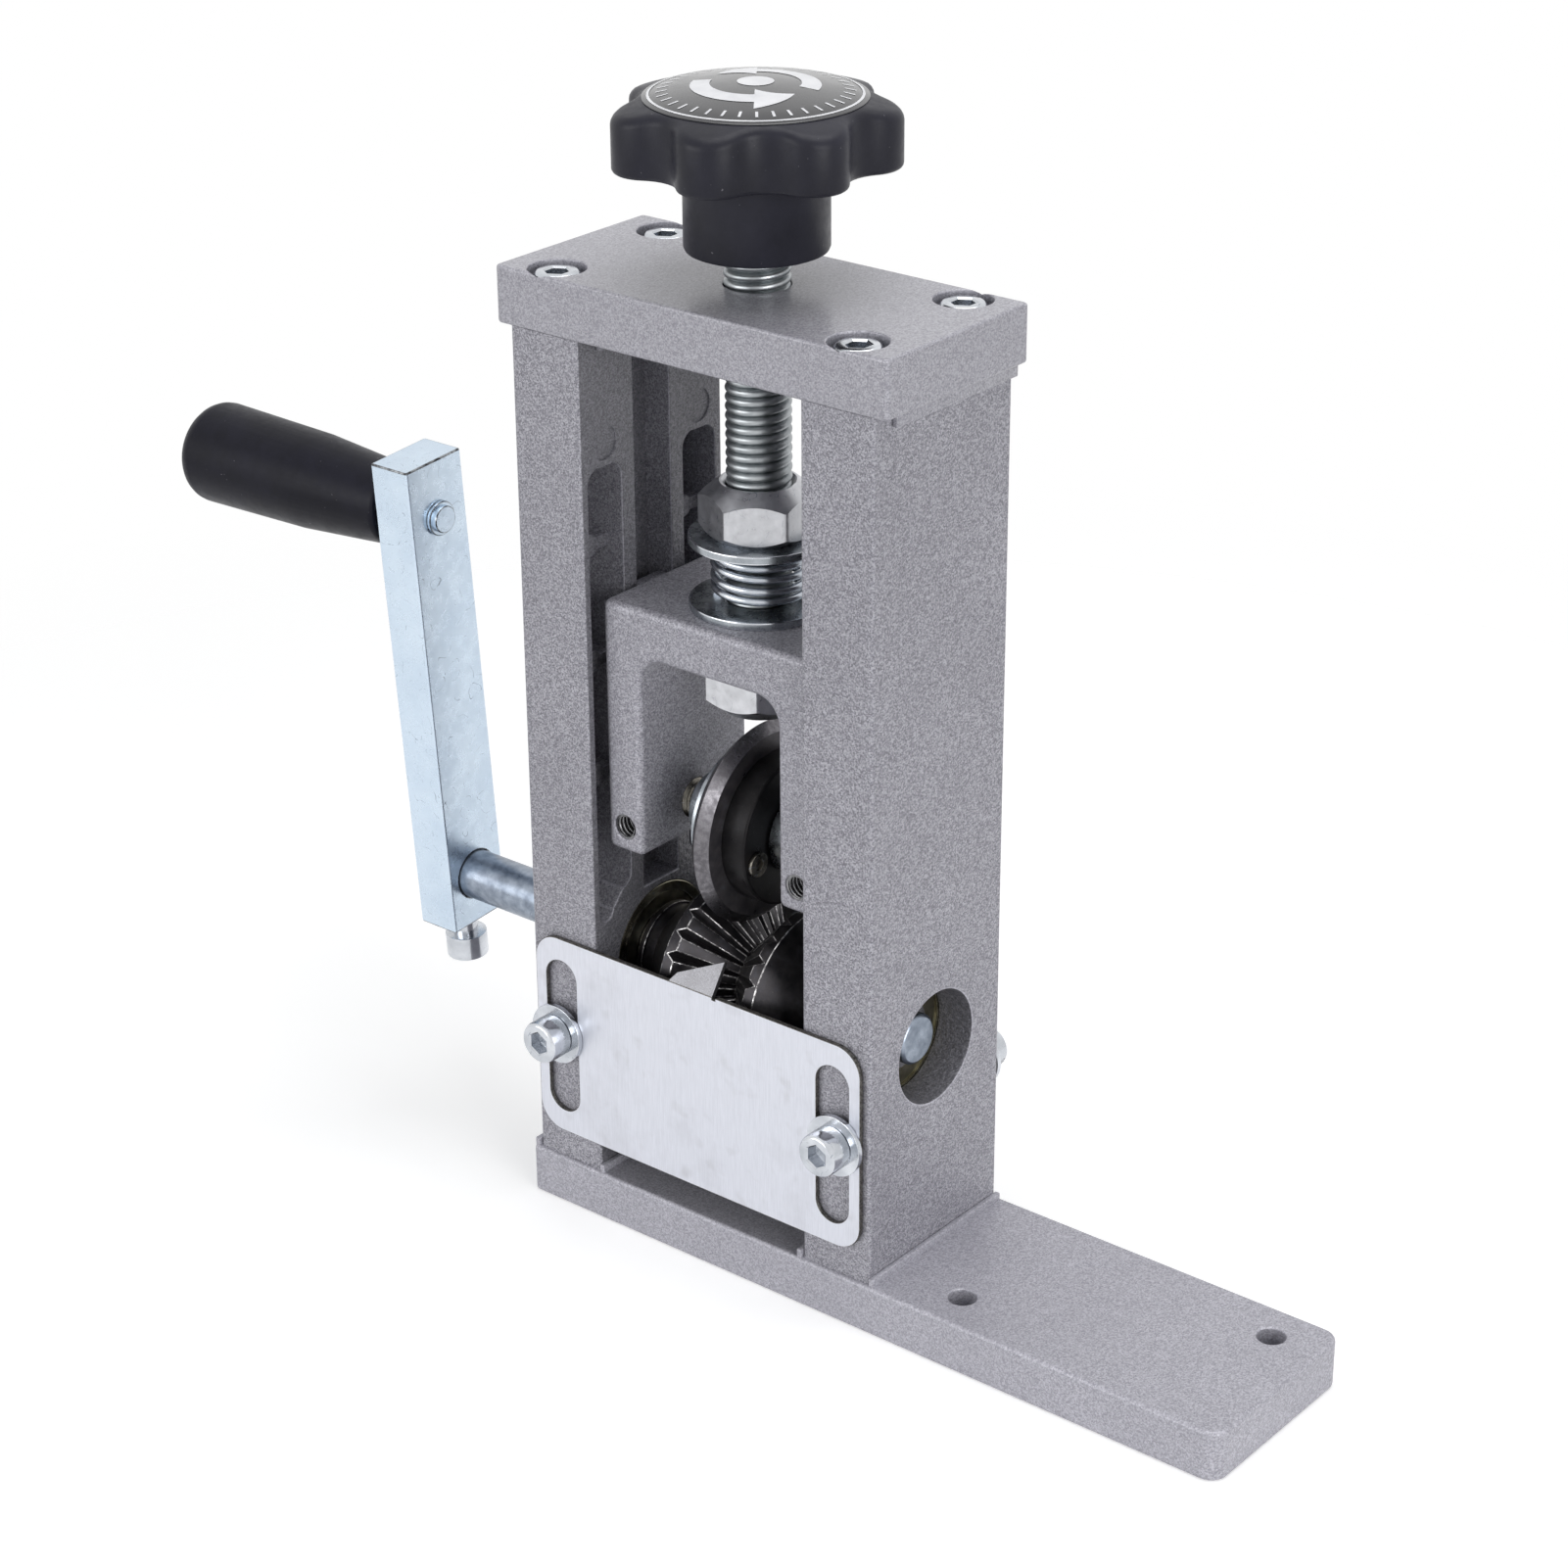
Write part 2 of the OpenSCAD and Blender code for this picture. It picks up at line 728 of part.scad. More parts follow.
module right_bearing_inner_race() {
    inner_race();
}

module left_bearing_shields() {
    other_side() shields();
}

module right_bearing_shields() {
    shields();
}

module left_bearing_cage() {
    other_side() cage();
}

module right_bearing_cage() {
    cage();
}

module left_bearing_balls() {
    color(bare_steel) other_side() bearing_balls(ball_r);
}

module right_bearing_balls() {
    color(bare_steel) bearing_balls(ball_r);
}

// The outline of a guide plate, seen from the front, without its bent tab
module guide_outline() {
    difference() {
        translate([0, guide_z + guide_h/2]) rounded_rect(guide_l, guide_h, guide_corner_r);
        for (side_x = [-1, 1])
            translate([side_x*column_mid_x, guide_z + slot_low_gap + slot_l/2]) {
                square([slot_w, slot_l - slot_w], center = true);
                for (side_y = [-1, 1]) translate([0, side_y*(slot_l - slot_w)/2])
                    circle(r = slot_w/2, $fn = small_fn);
            }
        translate([tab_right_x, guide_z + guide_h - tab_relief_h])
            square([tab_relief_w, tab_relief_h + over]);
    }
}

// The tab that leads the wire in, bent back over the plate's upper edge
module guide_tab() {
    translate([0, -guide_back_y - guide_t, guide_z + guide_h]) rotate([-tab_lean_deg, 0, 0])
        facing_front(guide_t) linear_extrude(height = guide_t) polygon([
            [-tab_left_x, 0], [tab_right_x, 0],
            [tab_right_x, tab_long_side], [-tab_shoulder_x, tab_short_side]
        ]);
}

module guide_plate() {
    color(bare_steel) union() {
        facing_front(-guide_back_y) linear_extrude(height = guide_t) guide_outline();
        guide_tab();
    }
}

module front_guide_plate() {
    guide_plate();
}

module rear_guide_plate() {
    turned_about() guide_plate();
}

module guide_screw_places() {
    for (side_x = [-1, 1]) translate([side_x*guide_screw_x, 0, guide_screw_z]) children();
}

module guide_screws() {
    color(zinc) guide_screw_places() mirror([0, 1, 0])
        along_y(guide_head_y + screw_head_h) socket_screw(guide_screw_l);
}

module guide_washers() {
    color(zinc) guide_screw_places() mirror([0, 1, 0])
        along_y(guide_washer_y) tube(guide_washer_r, screw_r + guide_washer_c, guide_washer_t);
}

module front_guide_screws() {
    guide_screws();
}

module rear_guide_screws() {
    turned_about() guide_screws();
}

module front_guide_washers() {
    guide_washers();
}

module rear_guide_washers() {
    turned_about() guide_washers();
}

module drive_shaft() {
    color(zinc) translate([0, 0, shaft_z]) along_x(0) rotate_extrude($fn = round_fn) polygon([
        [0, shaft_left_x], [shaft_r - shaft_chamfer, shaft_left_x],
        [shaft_r, shaft_left_x + shaft_chamfer], [shaft_r, shaft_right_x - shaft_chamfer],
        [shaft_r - shaft_chamfer, shaft_right_x], [0, shaft_right_x]
    ]);
}

module shaft_spacers() {
    color(zinc) translate([0, 0, shaft_z]) for (x = [roller_end_x, -inner_x])
        along_x(x) tube(shaft_r + spacer_wall, shaft_r + run_c, spacer_l);
}

// One gap between two teeth: a straight V cut whose floor follows the cone
module tooth_gap() {
    rim_floor_r = cone_r - tooth_depth;
    root_floor_r = cone_root_r - tooth_depth*tooth_root_share;
    slant_deg = atan2(rim_floor_r - root_floor_r, groove_half_w);
    gap_h = 2*tooth_depth;
    rim_pitch = full_turn_deg/tooth_count*PI/(full_turn_deg/2)*cone_r;
    gap_half_w = rim_pitch*tooth_gap_share/2*gap_h/tooth_depth;
    translate([0, 0, root_floor_r]) rotate([0, -slant_deg, 0]) facing_x(-cone_r/2)
        linear_extrude(height = 2*cone_r) polygon([[0, 0], [gap_half_w, gap_h], [-gap_half_w, gap_h]]);
}

module feed_roller() {
    color(black_steel) translate([0, 0, shaft_z]) difference() {
        along_x(0) rotate_extrude($fn = round_fn) polygon([
            [shaft_r + seat_c, roller_meet_gap/2], [cone_root_r, roller_meet_gap/2],
            [cone_r, groove_half_w], [cone_r, groove_half_w + rim_w],
            [roller_hub_r, back_cone_x], [roller_hub_r, hub_step_x],
            [roller_hub_r + hub_step_rise, hub_step_x],
            [roller_hub_r + hub_step_rise, roller_end_x], [shaft_r + seat_c, roller_end_x]
        ]);
        for (i = [0:tooth_count - 1]) rotate([i*full_turn_deg/tooth_count, 0, 0]) tooth_gap();
        translate([set_screw_x, 0, 0]) along_y(0)
            cylinder(r = set_screw_r + run_c, h = cone_r, $fn = small_fn);
    }
}

module right_feed_roller() {
    feed_roller();
}

module left_feed_roller() {
    other_side() feed_roller();
}

module roller_set_screws() {
    color(black_steel) for (side_x = [-1, 1])
        translate([side_x*set_screw_x, 0, shaft_z])
            along_y(shaft_r + rest_gap + set_screw_l)
            grub_screw(set_screw_r, set_screw_l, set_screw_af, set_screw_socket);
}

// Places what is drawn about the shaft's axis with the crank's lean
module crank_frame() {
    translate([0, 0, shaft_z]) rotate([arm_lean_deg, 0, 0]) children();
}

module crank_arm() {
    color(zinc) crank_frame() difference() {
        translate([-arm_x - arm_t/2, 0, -arm_end]) slab(arm_t, arm_w, arm_l, arm_edge_r);
        along_x(-arm_x - arm_t - over)
            cylinder(r = shaft_r + seat_c, h = arm_t + 2*over, $fn = round_fn);
        translate([0, 0, crank_throw]) along_x(-arm_x - arm_t - over)
            cylinder(r = pin_tail_r + seat_c, h = arm_t + 2*over, $fn = small_fn);
        translate([-arm_x - arm_t/2, 0, -arm_end - over])
            cylinder(r = screw_r + run_c, h = arm_end + over, $fn = small_fn);
    }
}

module crank_clamp_screw() {
    thread_l = arm_end - shaft_r - rest_gap + clamp_screw_show;
    color(zinc) crank_frame() translate([-arm_x - arm_t/2, 0, 0]) mirror([0, 0, 1])
        translate([0, 0, arm_end + clamp_screw_show + screw_head_h]) socket_screw(thread_l);
}

module grip_pin() {
    arm_outer_x = arm_x + arm_t;
    color(zinc) crank_frame() translate([0, 0, crank_throw]) other_side() along_x(0)
        rotate_extrude($fn = small_fn) polygon([
            [0, arm_x - pin_upset_t - pin_end_t], [pin_tail_r, arm_x - pin_upset_t - pin_end_t],
            [pin_tail_r, arm_x - pin_upset_t], [pin_upset_r, arm_x - pin_upset_t],
            [pin_upset_r, arm_x], [pin_tail_r, arm_x], [pin_tail_r, arm_outer_x],
            [pin_collar_r, arm_outer_x], [pin_collar_r, arm_outer_x + pin_collar_t],
            [pin_r, arm_outer_x + pin_collar_t], [pin_r, pin_head_x - pin_head_t],
            [pin_head_r, pin_head_x - pin_head_t], [pin_head_r, pin_head_x], [0, pin_head_x]
        ]);
}

// Points of a quarter circle that leaves the grip's side and ends on its end face
function grip_edge_points() = [
    for (i = [0:grip_arc_steps]) let (a = i*quarter_turn_deg/grip_arc_steps)
        [grip_far_r - grip_edge_r*(1 - cos(a)), grip_end_x - grip_edge_r*(1 - sin(a))]
];

module grip() {
    bore_r = pin_r + run_c;
    room_r = pin_head_r + face_gap;
    waist_x = grip_start_x + grip_l*grip_waist_share;
    waist_r = grip_near_r + (grip_far_r - grip_near_r)*grip_swell_share;
    color(black_plastic) crank_frame() translate([0, 0, crank_throw]) other_side() along_x(0)
        rotate_extrude($fn = round_fn) polygon(concat(
            [[bore_r, grip_start_x], [grip_near_r - arm_edge_r, grip_start_x],
             [grip_near_r, grip_start_x + arm_edge_r],
             [waist_r, waist_x]],
            grip_edge_points(),
            [[0, grip_end_x], [0, grip_end_x - grip_cap_t], [room_r, grip_end_x - grip_cap_t],
             [room_r, pin_head_x - pin_head_t - face_gap],
             [bore_r, pin_head_x - pin_head_t - face_gap]]
        ));
}

module yoke() {
    color(paint) {
        difference() {
            intersection() {
                translate([0, 0, yoke_foot_z]) slab(2*yoke_half_w, yoke_d, yoke_h, yoke_edge_r);
                facing_front(yoke_d/2) linear_extrude(height = yoke_d)
                    translate([0, yoke_foot_z + yoke_h/2])
                    rounded_rect(2*yoke_half_w, yoke_h, yoke_edge_r);
                facing_x(-yoke_half_w) linear_extrude(height = 2*yoke_half_w)
                    translate([0, yoke_foot_z + yoke_h/2])
                    rounded_rect(yoke_d, yoke_h, yoke_edge_r);
            }
            facing_front(yoke_d/2 + over) linear_extrude(height = yoke_d + 2*over)
                translate([0, yoke_bar_z - yoke_h/2])
                rounded_rect(2*yoke_gap_half, yoke_h, yoke_inner_r);
            translate([0, -yoke_d/2 - over, yoke_foot_z - over])
                translate([-yoke_gap_half, 0, 0])
                cube([2*yoke_gap_half, yoke_d + 2*over, yoke_h/2]);
            translate([0, 0, yoke_bar_z - over])
                cylinder(r = rod_r + rod_hole_c, h = yoke_bar_t + 2*over, $fn = round_fn);
            translate([0, 0, blade_z]) along_x(-yoke_half_w - tongue_reach)
                cylinder(r = axle_r + seat_c, h = 2*(yoke_half_w + tongue_reach), $fn = small_fn);
            for (side_x = [-1, 1])
                translate([side_x*yoke_screw_x, 0, yoke_screw_z]) along_y(-yoke_d/2 - over)
                    cylinder(r = screw_r + run_c, h = yoke_d/2 + over, $fn = small_fn);
        }
        for (side_x = [-1, 1]) scale([side_x, 1, 1])
            translate([yoke_half_w - rest_gap, -tongue_w/2, yoke_foot_z + yoke_edge_r])
            cube([tongue_reach + rest_gap, tongue_w, yoke_h - 2*yoke_edge_r]);
    }
}

// Points of the axle's side, with a few thread turns beside the left leg
function axle_side_points() = concat(
    [[axle_r, -axle_half_l], [axle_r, -yoke_gap_half]],
    [for (i = [0:axle_thread_count - 1], part = [0, 1])
        [axle_r - (1 - part)*axle_thread_depth,
         -yoke_gap_half + (i + (1 + part)/2)*axle_thread_l/axle_thread_count]],
    [[axle_r, axle_half_l]]
);

module blade_axle() {
    color(zinc) translate([0, 0, blade_z]) along_x(0) rotate_extrude($fn = small_fn)
        polygon(concat([[0, -axle_half_l]], axle_side_points(), [[0, axle_half_l]]));
}

module axle_set_screws() {
    color(black_steel) for (side_x = [-1, 1])
        translate([side_x*yoke_screw_x, 0, yoke_screw_z]) mirror([0, 1, 0])
            along_y(axle_r + rest_gap + yoke_screw_l)
            grub_screw(screw_r, yoke_screw_l, yoke_screw_af, yoke_screw_socket);
}

module axle_spacer(left_x, right_x, outer_r) {
    color(zinc) translate([0, 0, blade_z]) along_x(left_x)
        tube(outer_r, axle_r + run_c, right_x - left_x);
}

module left_axle_spacer() {
    axle_spacer(-yoke_gap_half + axle_thread_l, hub_left_x - face_gap, axle_r + axle_spacer_wall);
}

module right_axle_spacer() {
    axle_spacer(hub_right_x + face_gap, yoke_gap_half - rest_gap, collar_r);
}

// Runs its children once at the place of each blade screw
module blade_screw_places() {
    translate([0, 0, blade_z]) for (i = [0:blade_screw_count - 1])
        rotate([blade_screw_turn_deg + i*full_turn_deg/blade_screw_count, 0, 0])
            translate([0, blade_screw_pitch_r, 0]) children();
}

module blade_wheel() {
    color(black_steel) difference() {
        translate([0, 0, blade_z]) along_x(0) rotate_extrude($fn = round_fn) polygon([
            [hub_sleeve_r + seat_c, -blade_t/2], [blade_r - bevel_w, -blade_t/2], [blade_r, 0],
            [blade_r - bevel_w, blade_t/2], [hub_sleeve_r + seat_c, blade_t/2]
        ]);
        blade_screw_places() along_x(-blade_t)
            cylinder(r = blade_screw_r + run_c, h = 2*blade_t, $fn = small_fn);
    }
}

module blade_hub() {
    color(zinc) difference() {
        translate([0, 0, blade_z]) along_x(0) rotate_extrude($fn = round_fn) polygon([
            [axle_r + run_c, hub_left_x], [hub_flange_r, hub_left_x],
            [hub_flange_r, -blade_t/2], [hub_sleeve_r, -blade_t/2],
            [hub_sleeve_r, hub_right_x], [axle_r + run_c, hub_right_x]
        ]);
        blade_screw_places() along_x(hub_left_x - over)
            cylinder(r = blade_screw_r + run_c, h = hub_flange_t + 2*over, $fn = small_fn);
    }
}

module blade_boss() {
    color(black_steel) difference() {
        translate([0, 0, blade_z]) along_x(0) rotate_extrude($fn = round_fn) polygon([
            [hub_sleeve_r + seat_c, blade_t/2], [boss_r, blade_t/2],
            [boss_r, hub_right_x - boss_edge_c], [boss_r - boss_edge_c, hub_right_x],
            [hub_sleeve_r + seat_c, hub_right_x]
        ]);
        blade_screw_places() along_x(blade_t/2 - over)
            cylinder(r = blade_screw_r + run_c, h = boss_t + 2*over, $fn = small_fn);
    }
}

module blade_screws() {
    color(black_steel) blade_screw_places() difference() {
        union() {
            along_x(hub_right_x)
                cylinder(r = blade_screw_head_r, h = blade_screw_head_h, $fn = small_fn);
            along_x(hub_left_x)
                cylinder(r = blade_screw_r, h = hub_right_x - hub_left_x, $fn = small_fn);
        }
        along_x(hub_right_x + blade_screw_head_h/2) hexagon(blade_screw_af, blade_screw_head_h);
    }
}

module spring_washer(z) {
    color(zinc) translate([0, 0, z]) tube(washer_r, rod_r + rod_hole_c, washer_t);
}

module lower_spring_washer() {
    spring_washer(washer_low_z);
}

module upper_spring_washer() {
    spring_washer(spring_high_z);
}

// How high the spring's wire has climbed after a number of turns
function spring_rise(turns) =
    min(turns, spring_low_turns)*spring_closed_pitch
    + max(0, min(turns - spring_low_turns, spring_open_turns))*spring_open_climb/spring_open_turns
    + max(0, turns - spring_low_turns - spring_open_turns)*spring_closed_pitch;

// Least gap of the spring to itself, one turn apart, measured between its rings
spring_ring_total = floor(spring_turns*spring_ring_count);
function spring_turn(i) = i*spring_turns/spring_ring_total;
function spring_angle(i) = (spring_start_turn + spring_turn(i))*full_turn_deg;
function spring_middle(i) = let (a = spring_angle(i))
    [spring_coil_r*cos(a), spring_coil_r*sin(a),
     spring_low_z + spring_end_gap + spring_wire_r + spring_rise(spring_turn(i))];
spring_least_gap = min([
    for (i = [0:spring_ring_total], j = [i + spring_ring_count/2:spring_ring_total])
        norm(spring_middle(i) - spring_middle(j)) - 2*spring_wire_r
]);
echo(spring_least_gap = spring_least_gap);

module adjusting_spring() {
    n = spring_side_count;
    points = [for (i = [0:spring_ring_total], k = [0:n - 1])
        let (
            a = spring_angle(i),
            b = k*full_turn_deg/n,
            middle = spring_middle(i),
            out = spring_wire_r*cos(b),
            up = spring_wire_r*sin(b)
        ) [middle[0] + out*cos(a), middle[1] + out*sin(a), middle[2] + up]];
    sides = [for (i = [0:spring_ring_total - 1], k = [0:n - 1], part = [0, 1])
        let (
            a = i*n + k,
            b = i*n + (k + 1)%n,
            c = a + n,
            d = b + n
        ) part == 0 ? [a, c, b] : [b, c, d]];
    first_end = [for (k = [1:n - 2]) [0, k, k + 1]];
    last = spring_ring_total*n;
    last_end = [for (k = [1:n - 2]) [last, last + k + 1, last + k]];
    color(zinc) polyhedron(points = points, faces = concat(sides, first_end, last_end));
}

module adjusting_screw() {
    side = [for (i = [0:rod_turns - 1], part = [0, 1])
        [rod_r - part*thread_depth, lower_nut_z + (i + part/2)*rod_pitch]];
    top_z = lower_nut_z + rod_turns*rod_pitch;
    color(zinc) rotate_extrude($fn = small_fn)
        polygon(concat([[0, lower_nut_z]], side, [[rod_r, top_z], [0, top_z]]));
}

module hex_nut(z, turn_deg) {
    corner_r = nut_af/2/cos(full_turn_deg/hex_sides/2);
    color(zinc) translate([0, 0, z]) rotate([0, 0, turn_deg]) difference() {
        intersection() {
            hexagon(nut_af, nut_h);
            rotate_extrude($fn = round_fn) polygon([
                [0, 0], [corner_r - nut_chamfer, 0], [corner_r, nut_chamfer/2],
                [corner_r, nut_h - nut_chamfer/2], [corner_r - nut_chamfer, nut_h], [0, nut_h]
            ]);
        }
        translate([0, 0, -over])
            cylinder(r = rod_r + run_c, h = nut_h + 2*over, $fn = round_fn);
    }
}

module upper_nut() {
    hex_nut(upper_nut_z, nut_turn_deg);
}

module lower_nut() {
    hex_nut(lower_nut_z, lower_nut_turn_deg);
}

// The knob's outline from above: round lobes joined by tangent valleys
module star_outline() {
    difference() {
        circle(r = star_core_r, $fn = round_fn);
        for (i = [0:knob_lobes - 1]) rotate([0, 0, (2*i + 1)*half_lobe_deg])
            translate([valley_centre_r, 0]) circle(r = valley_arc_r, $fn = small_fn);
    }
    for (i = [0:knob_lobes - 1]) rotate([0, 0, 2*i*half_lobe_deg])
        translate([lobe_centre_r, 0]) circle(r = knob_lobe_r, $fn = small_fn);
}

module knob() {
    rod_top_z = lower_nut_z + rod_turns*rod_pitch;
    color(black_plastic) rotate([0, 0, knob_turn_deg]) difference() {
        union() {
            intersection() {
                translate([0, 0, knob_lobe_z])
                    linear_extrude(height = knob_top_z - knob_lobe_z) star_outline();
                translate([0, 0, knob_top_z - dome_sphere_r])
                    sphere(r = dome_sphere_r, $fn = round_fn);
            }
            translate([0, 0, knob_z]) rotate_extrude($fn = round_fn) polygon([
                [0, 0], [knob_hub_r - knob_hub_edge, 0], [knob_hub_r, knob_hub_edge],
                [knob_hub_r, knob_hub_h + knob_hub_edge], [0, knob_hub_h + knob_hub_edge]
            ]);
        }
        translate([0, 0, knob_z - over])
            cylinder(r = rod_r + seat_c, h = rod_top_z - knob_z + over + rest_gap, $fn = round_fn);
    }
}

module knob_label() {
    color(black_plastic) intersection() {
        difference() {
            translate([0, 0, knob_top_z - dome_sphere_r])
                sphere(r = dome_sphere_r + seat_c + label_t, $fn = round_fn);
            translate([0, 0, knob_top_z - dome_sphere_r])
                sphere(r = dome_sphere_r + seat_c, $fn = round_fn);
        }
        translate([0, 0, knob_lobe_z]) cylinder(r = label_r, h = 2*knob_lobe_h, $fn = round_fn);
    }
}

base_plate();
left_column();
right_column();
top_plate();
top_plate_screws();
base_screws();
left_bearing_outer_race();
right_bearing_outer_race();
left_bearing_shields();
right_bearing_shields();
left_bearing_inner_race();
right_bearing_inner_race();
left_bearing_cage();
right_bearing_cage();
left_bearing_balls();
right_bearing_balls();
front_guide_plate();
rear_guide_plate();
front_guide_screws();
rear_guide_screws();
front_guide_washers();
rear_guide_washers();
drive_shaft();
shaft_spacers();
left_feed_roller();
right_feed_roller();
roller_set_screws();
crank_arm();
crank_clamp_screw();
grip_pin();
grip();
yoke();
blade_axle();
axle_set_screws();
left_axle_spacer();
right_axle_spacer();
blade_wheel();
blade_hub();
blade_boss();
blade_screws();
lower_spring_washer();
upper_spring_washer();
adjusting_spring();
adjusting_screw();
upper_nut();
lower_nut();
knob();
knob_label();
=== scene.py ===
import json
import math

import bmesh
import bpy
from mathutils import Matrix, Vector

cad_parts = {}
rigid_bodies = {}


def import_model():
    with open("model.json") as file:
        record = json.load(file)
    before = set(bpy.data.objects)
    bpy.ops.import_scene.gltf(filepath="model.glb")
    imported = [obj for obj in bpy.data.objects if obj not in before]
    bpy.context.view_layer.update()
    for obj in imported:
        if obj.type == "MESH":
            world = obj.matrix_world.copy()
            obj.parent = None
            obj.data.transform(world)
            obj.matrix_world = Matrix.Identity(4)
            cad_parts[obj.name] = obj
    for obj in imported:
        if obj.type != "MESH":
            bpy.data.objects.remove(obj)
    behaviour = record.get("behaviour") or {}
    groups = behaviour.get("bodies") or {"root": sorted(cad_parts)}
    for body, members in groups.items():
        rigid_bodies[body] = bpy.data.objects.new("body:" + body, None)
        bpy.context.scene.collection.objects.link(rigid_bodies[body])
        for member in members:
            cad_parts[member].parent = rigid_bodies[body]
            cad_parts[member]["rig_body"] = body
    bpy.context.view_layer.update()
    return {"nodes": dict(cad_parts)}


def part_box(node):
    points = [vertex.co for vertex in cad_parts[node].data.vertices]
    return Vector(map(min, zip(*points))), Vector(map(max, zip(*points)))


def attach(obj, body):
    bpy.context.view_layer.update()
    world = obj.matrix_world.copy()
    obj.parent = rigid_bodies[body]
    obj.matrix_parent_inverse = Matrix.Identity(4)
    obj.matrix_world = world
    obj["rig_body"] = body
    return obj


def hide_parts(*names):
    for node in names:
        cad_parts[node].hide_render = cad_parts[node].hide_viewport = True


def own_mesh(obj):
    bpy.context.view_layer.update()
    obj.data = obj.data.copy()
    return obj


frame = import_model()

mm = 0.001
full_turn = 2*math.pi
half_turn = math.pi
quarter_turn = math.pi/2

# Places and sizes that the CAD part gives
shaft_z = 52*mm
blade_z = 86.1*mm
blade_flat_r = 17.9*mm
column_inner_x = 25.2*mm
column_outer_x = 41*mm
tower_top_z = 190*mm
yoke_half_w = 24.8*mm
yoke_gap_half = 16.2*mm
yoke_d = 31*mm
yoke_foot_z = 79.1*mm
yoke_bar_z = 119.6*mm
yoke_top_z = 129.4*mm
yoke_corner_r = 1.6*mm
yoke_inner_r = 5*mm
yoke_edge_r = 1.5*mm
tongue_w = 9.4*mm
tongue_reach = 3.6*mm
axle_r = 4*mm
tapped_hole_x = 20.5*mm
tapped_hole_z = 84.3*mm
tapped_hole_r = 2.5*mm
tapped_pitch = 1*mm
rod_low_z = 109.58*mm
rod_high_z = 207.58*mm
rod_r = 6*mm
rod_pitch = 1.75*mm
nut_af = 19.4*mm
spring_low_z = 131.02*mm
spring_high_z = 142.02*mm
screw_r = 2.5*mm
screw_pitch = 0.8*mm
screw_head_r = 4.25*mm
screw_head_h = 5*mm
socket_af = 4*mm
socket_depth = 2.6*mm

# Knob and label
knob_low_z = 196.2*mm
knob_lobe_z = 211.4*mm
knob_lobe_h = 9.9*mm
knob_dome_h = 4.2*mm
knob_r = 25.6*mm
knob_valley_r = 20.8*mm
knob_lobe_r = 6.4*mm
knob_hub_r = 12.9*mm
knob_lobes = 7
knob_turn = math.radians(30)
label_r = 19.6*mm
label_t = 0.22*mm


# Node trees

def feed(tree, socket, value):
    """Gives a socket a constant or another node's output."""
    if isinstance(value, bpy.types.NodeSocket):
        tree.links.new(value, socket)
    else:
        socket.default_value = value


def add_node(tree, kind, *first_inputs, settings=None, **named_inputs):
    """Adds a node and feeds its inputs, by their order or by name with spaces for underscores."""
    made = tree.nodes.new(kind)
    for key, value in (settings or {}).items():
        setattr(made, key, value)
    for n, value in enumerate(first_inputs):
        feed(tree, made.inputs[n], value)
    for key, value in named_inputs.items():
        feed(tree, made.inputs[key.replace("_", " ")], value)
    return made


def maths(tree, operation, *values):
    return add_node(tree, "ShaderNodeMath", *values, settings={"operation": operation}).outputs[0]


# Colours and materials

def paint(red, green, blue):
    """A colour as a screen shows it, in Blender's own linear numbers."""
    shown = [red/255, green/255, blue/255]
    plain = [c/12.92 if c <= 0.04045 else ((c + 0.055)/1.055)**2.4 for c in shown]
    return (*plain, 1)


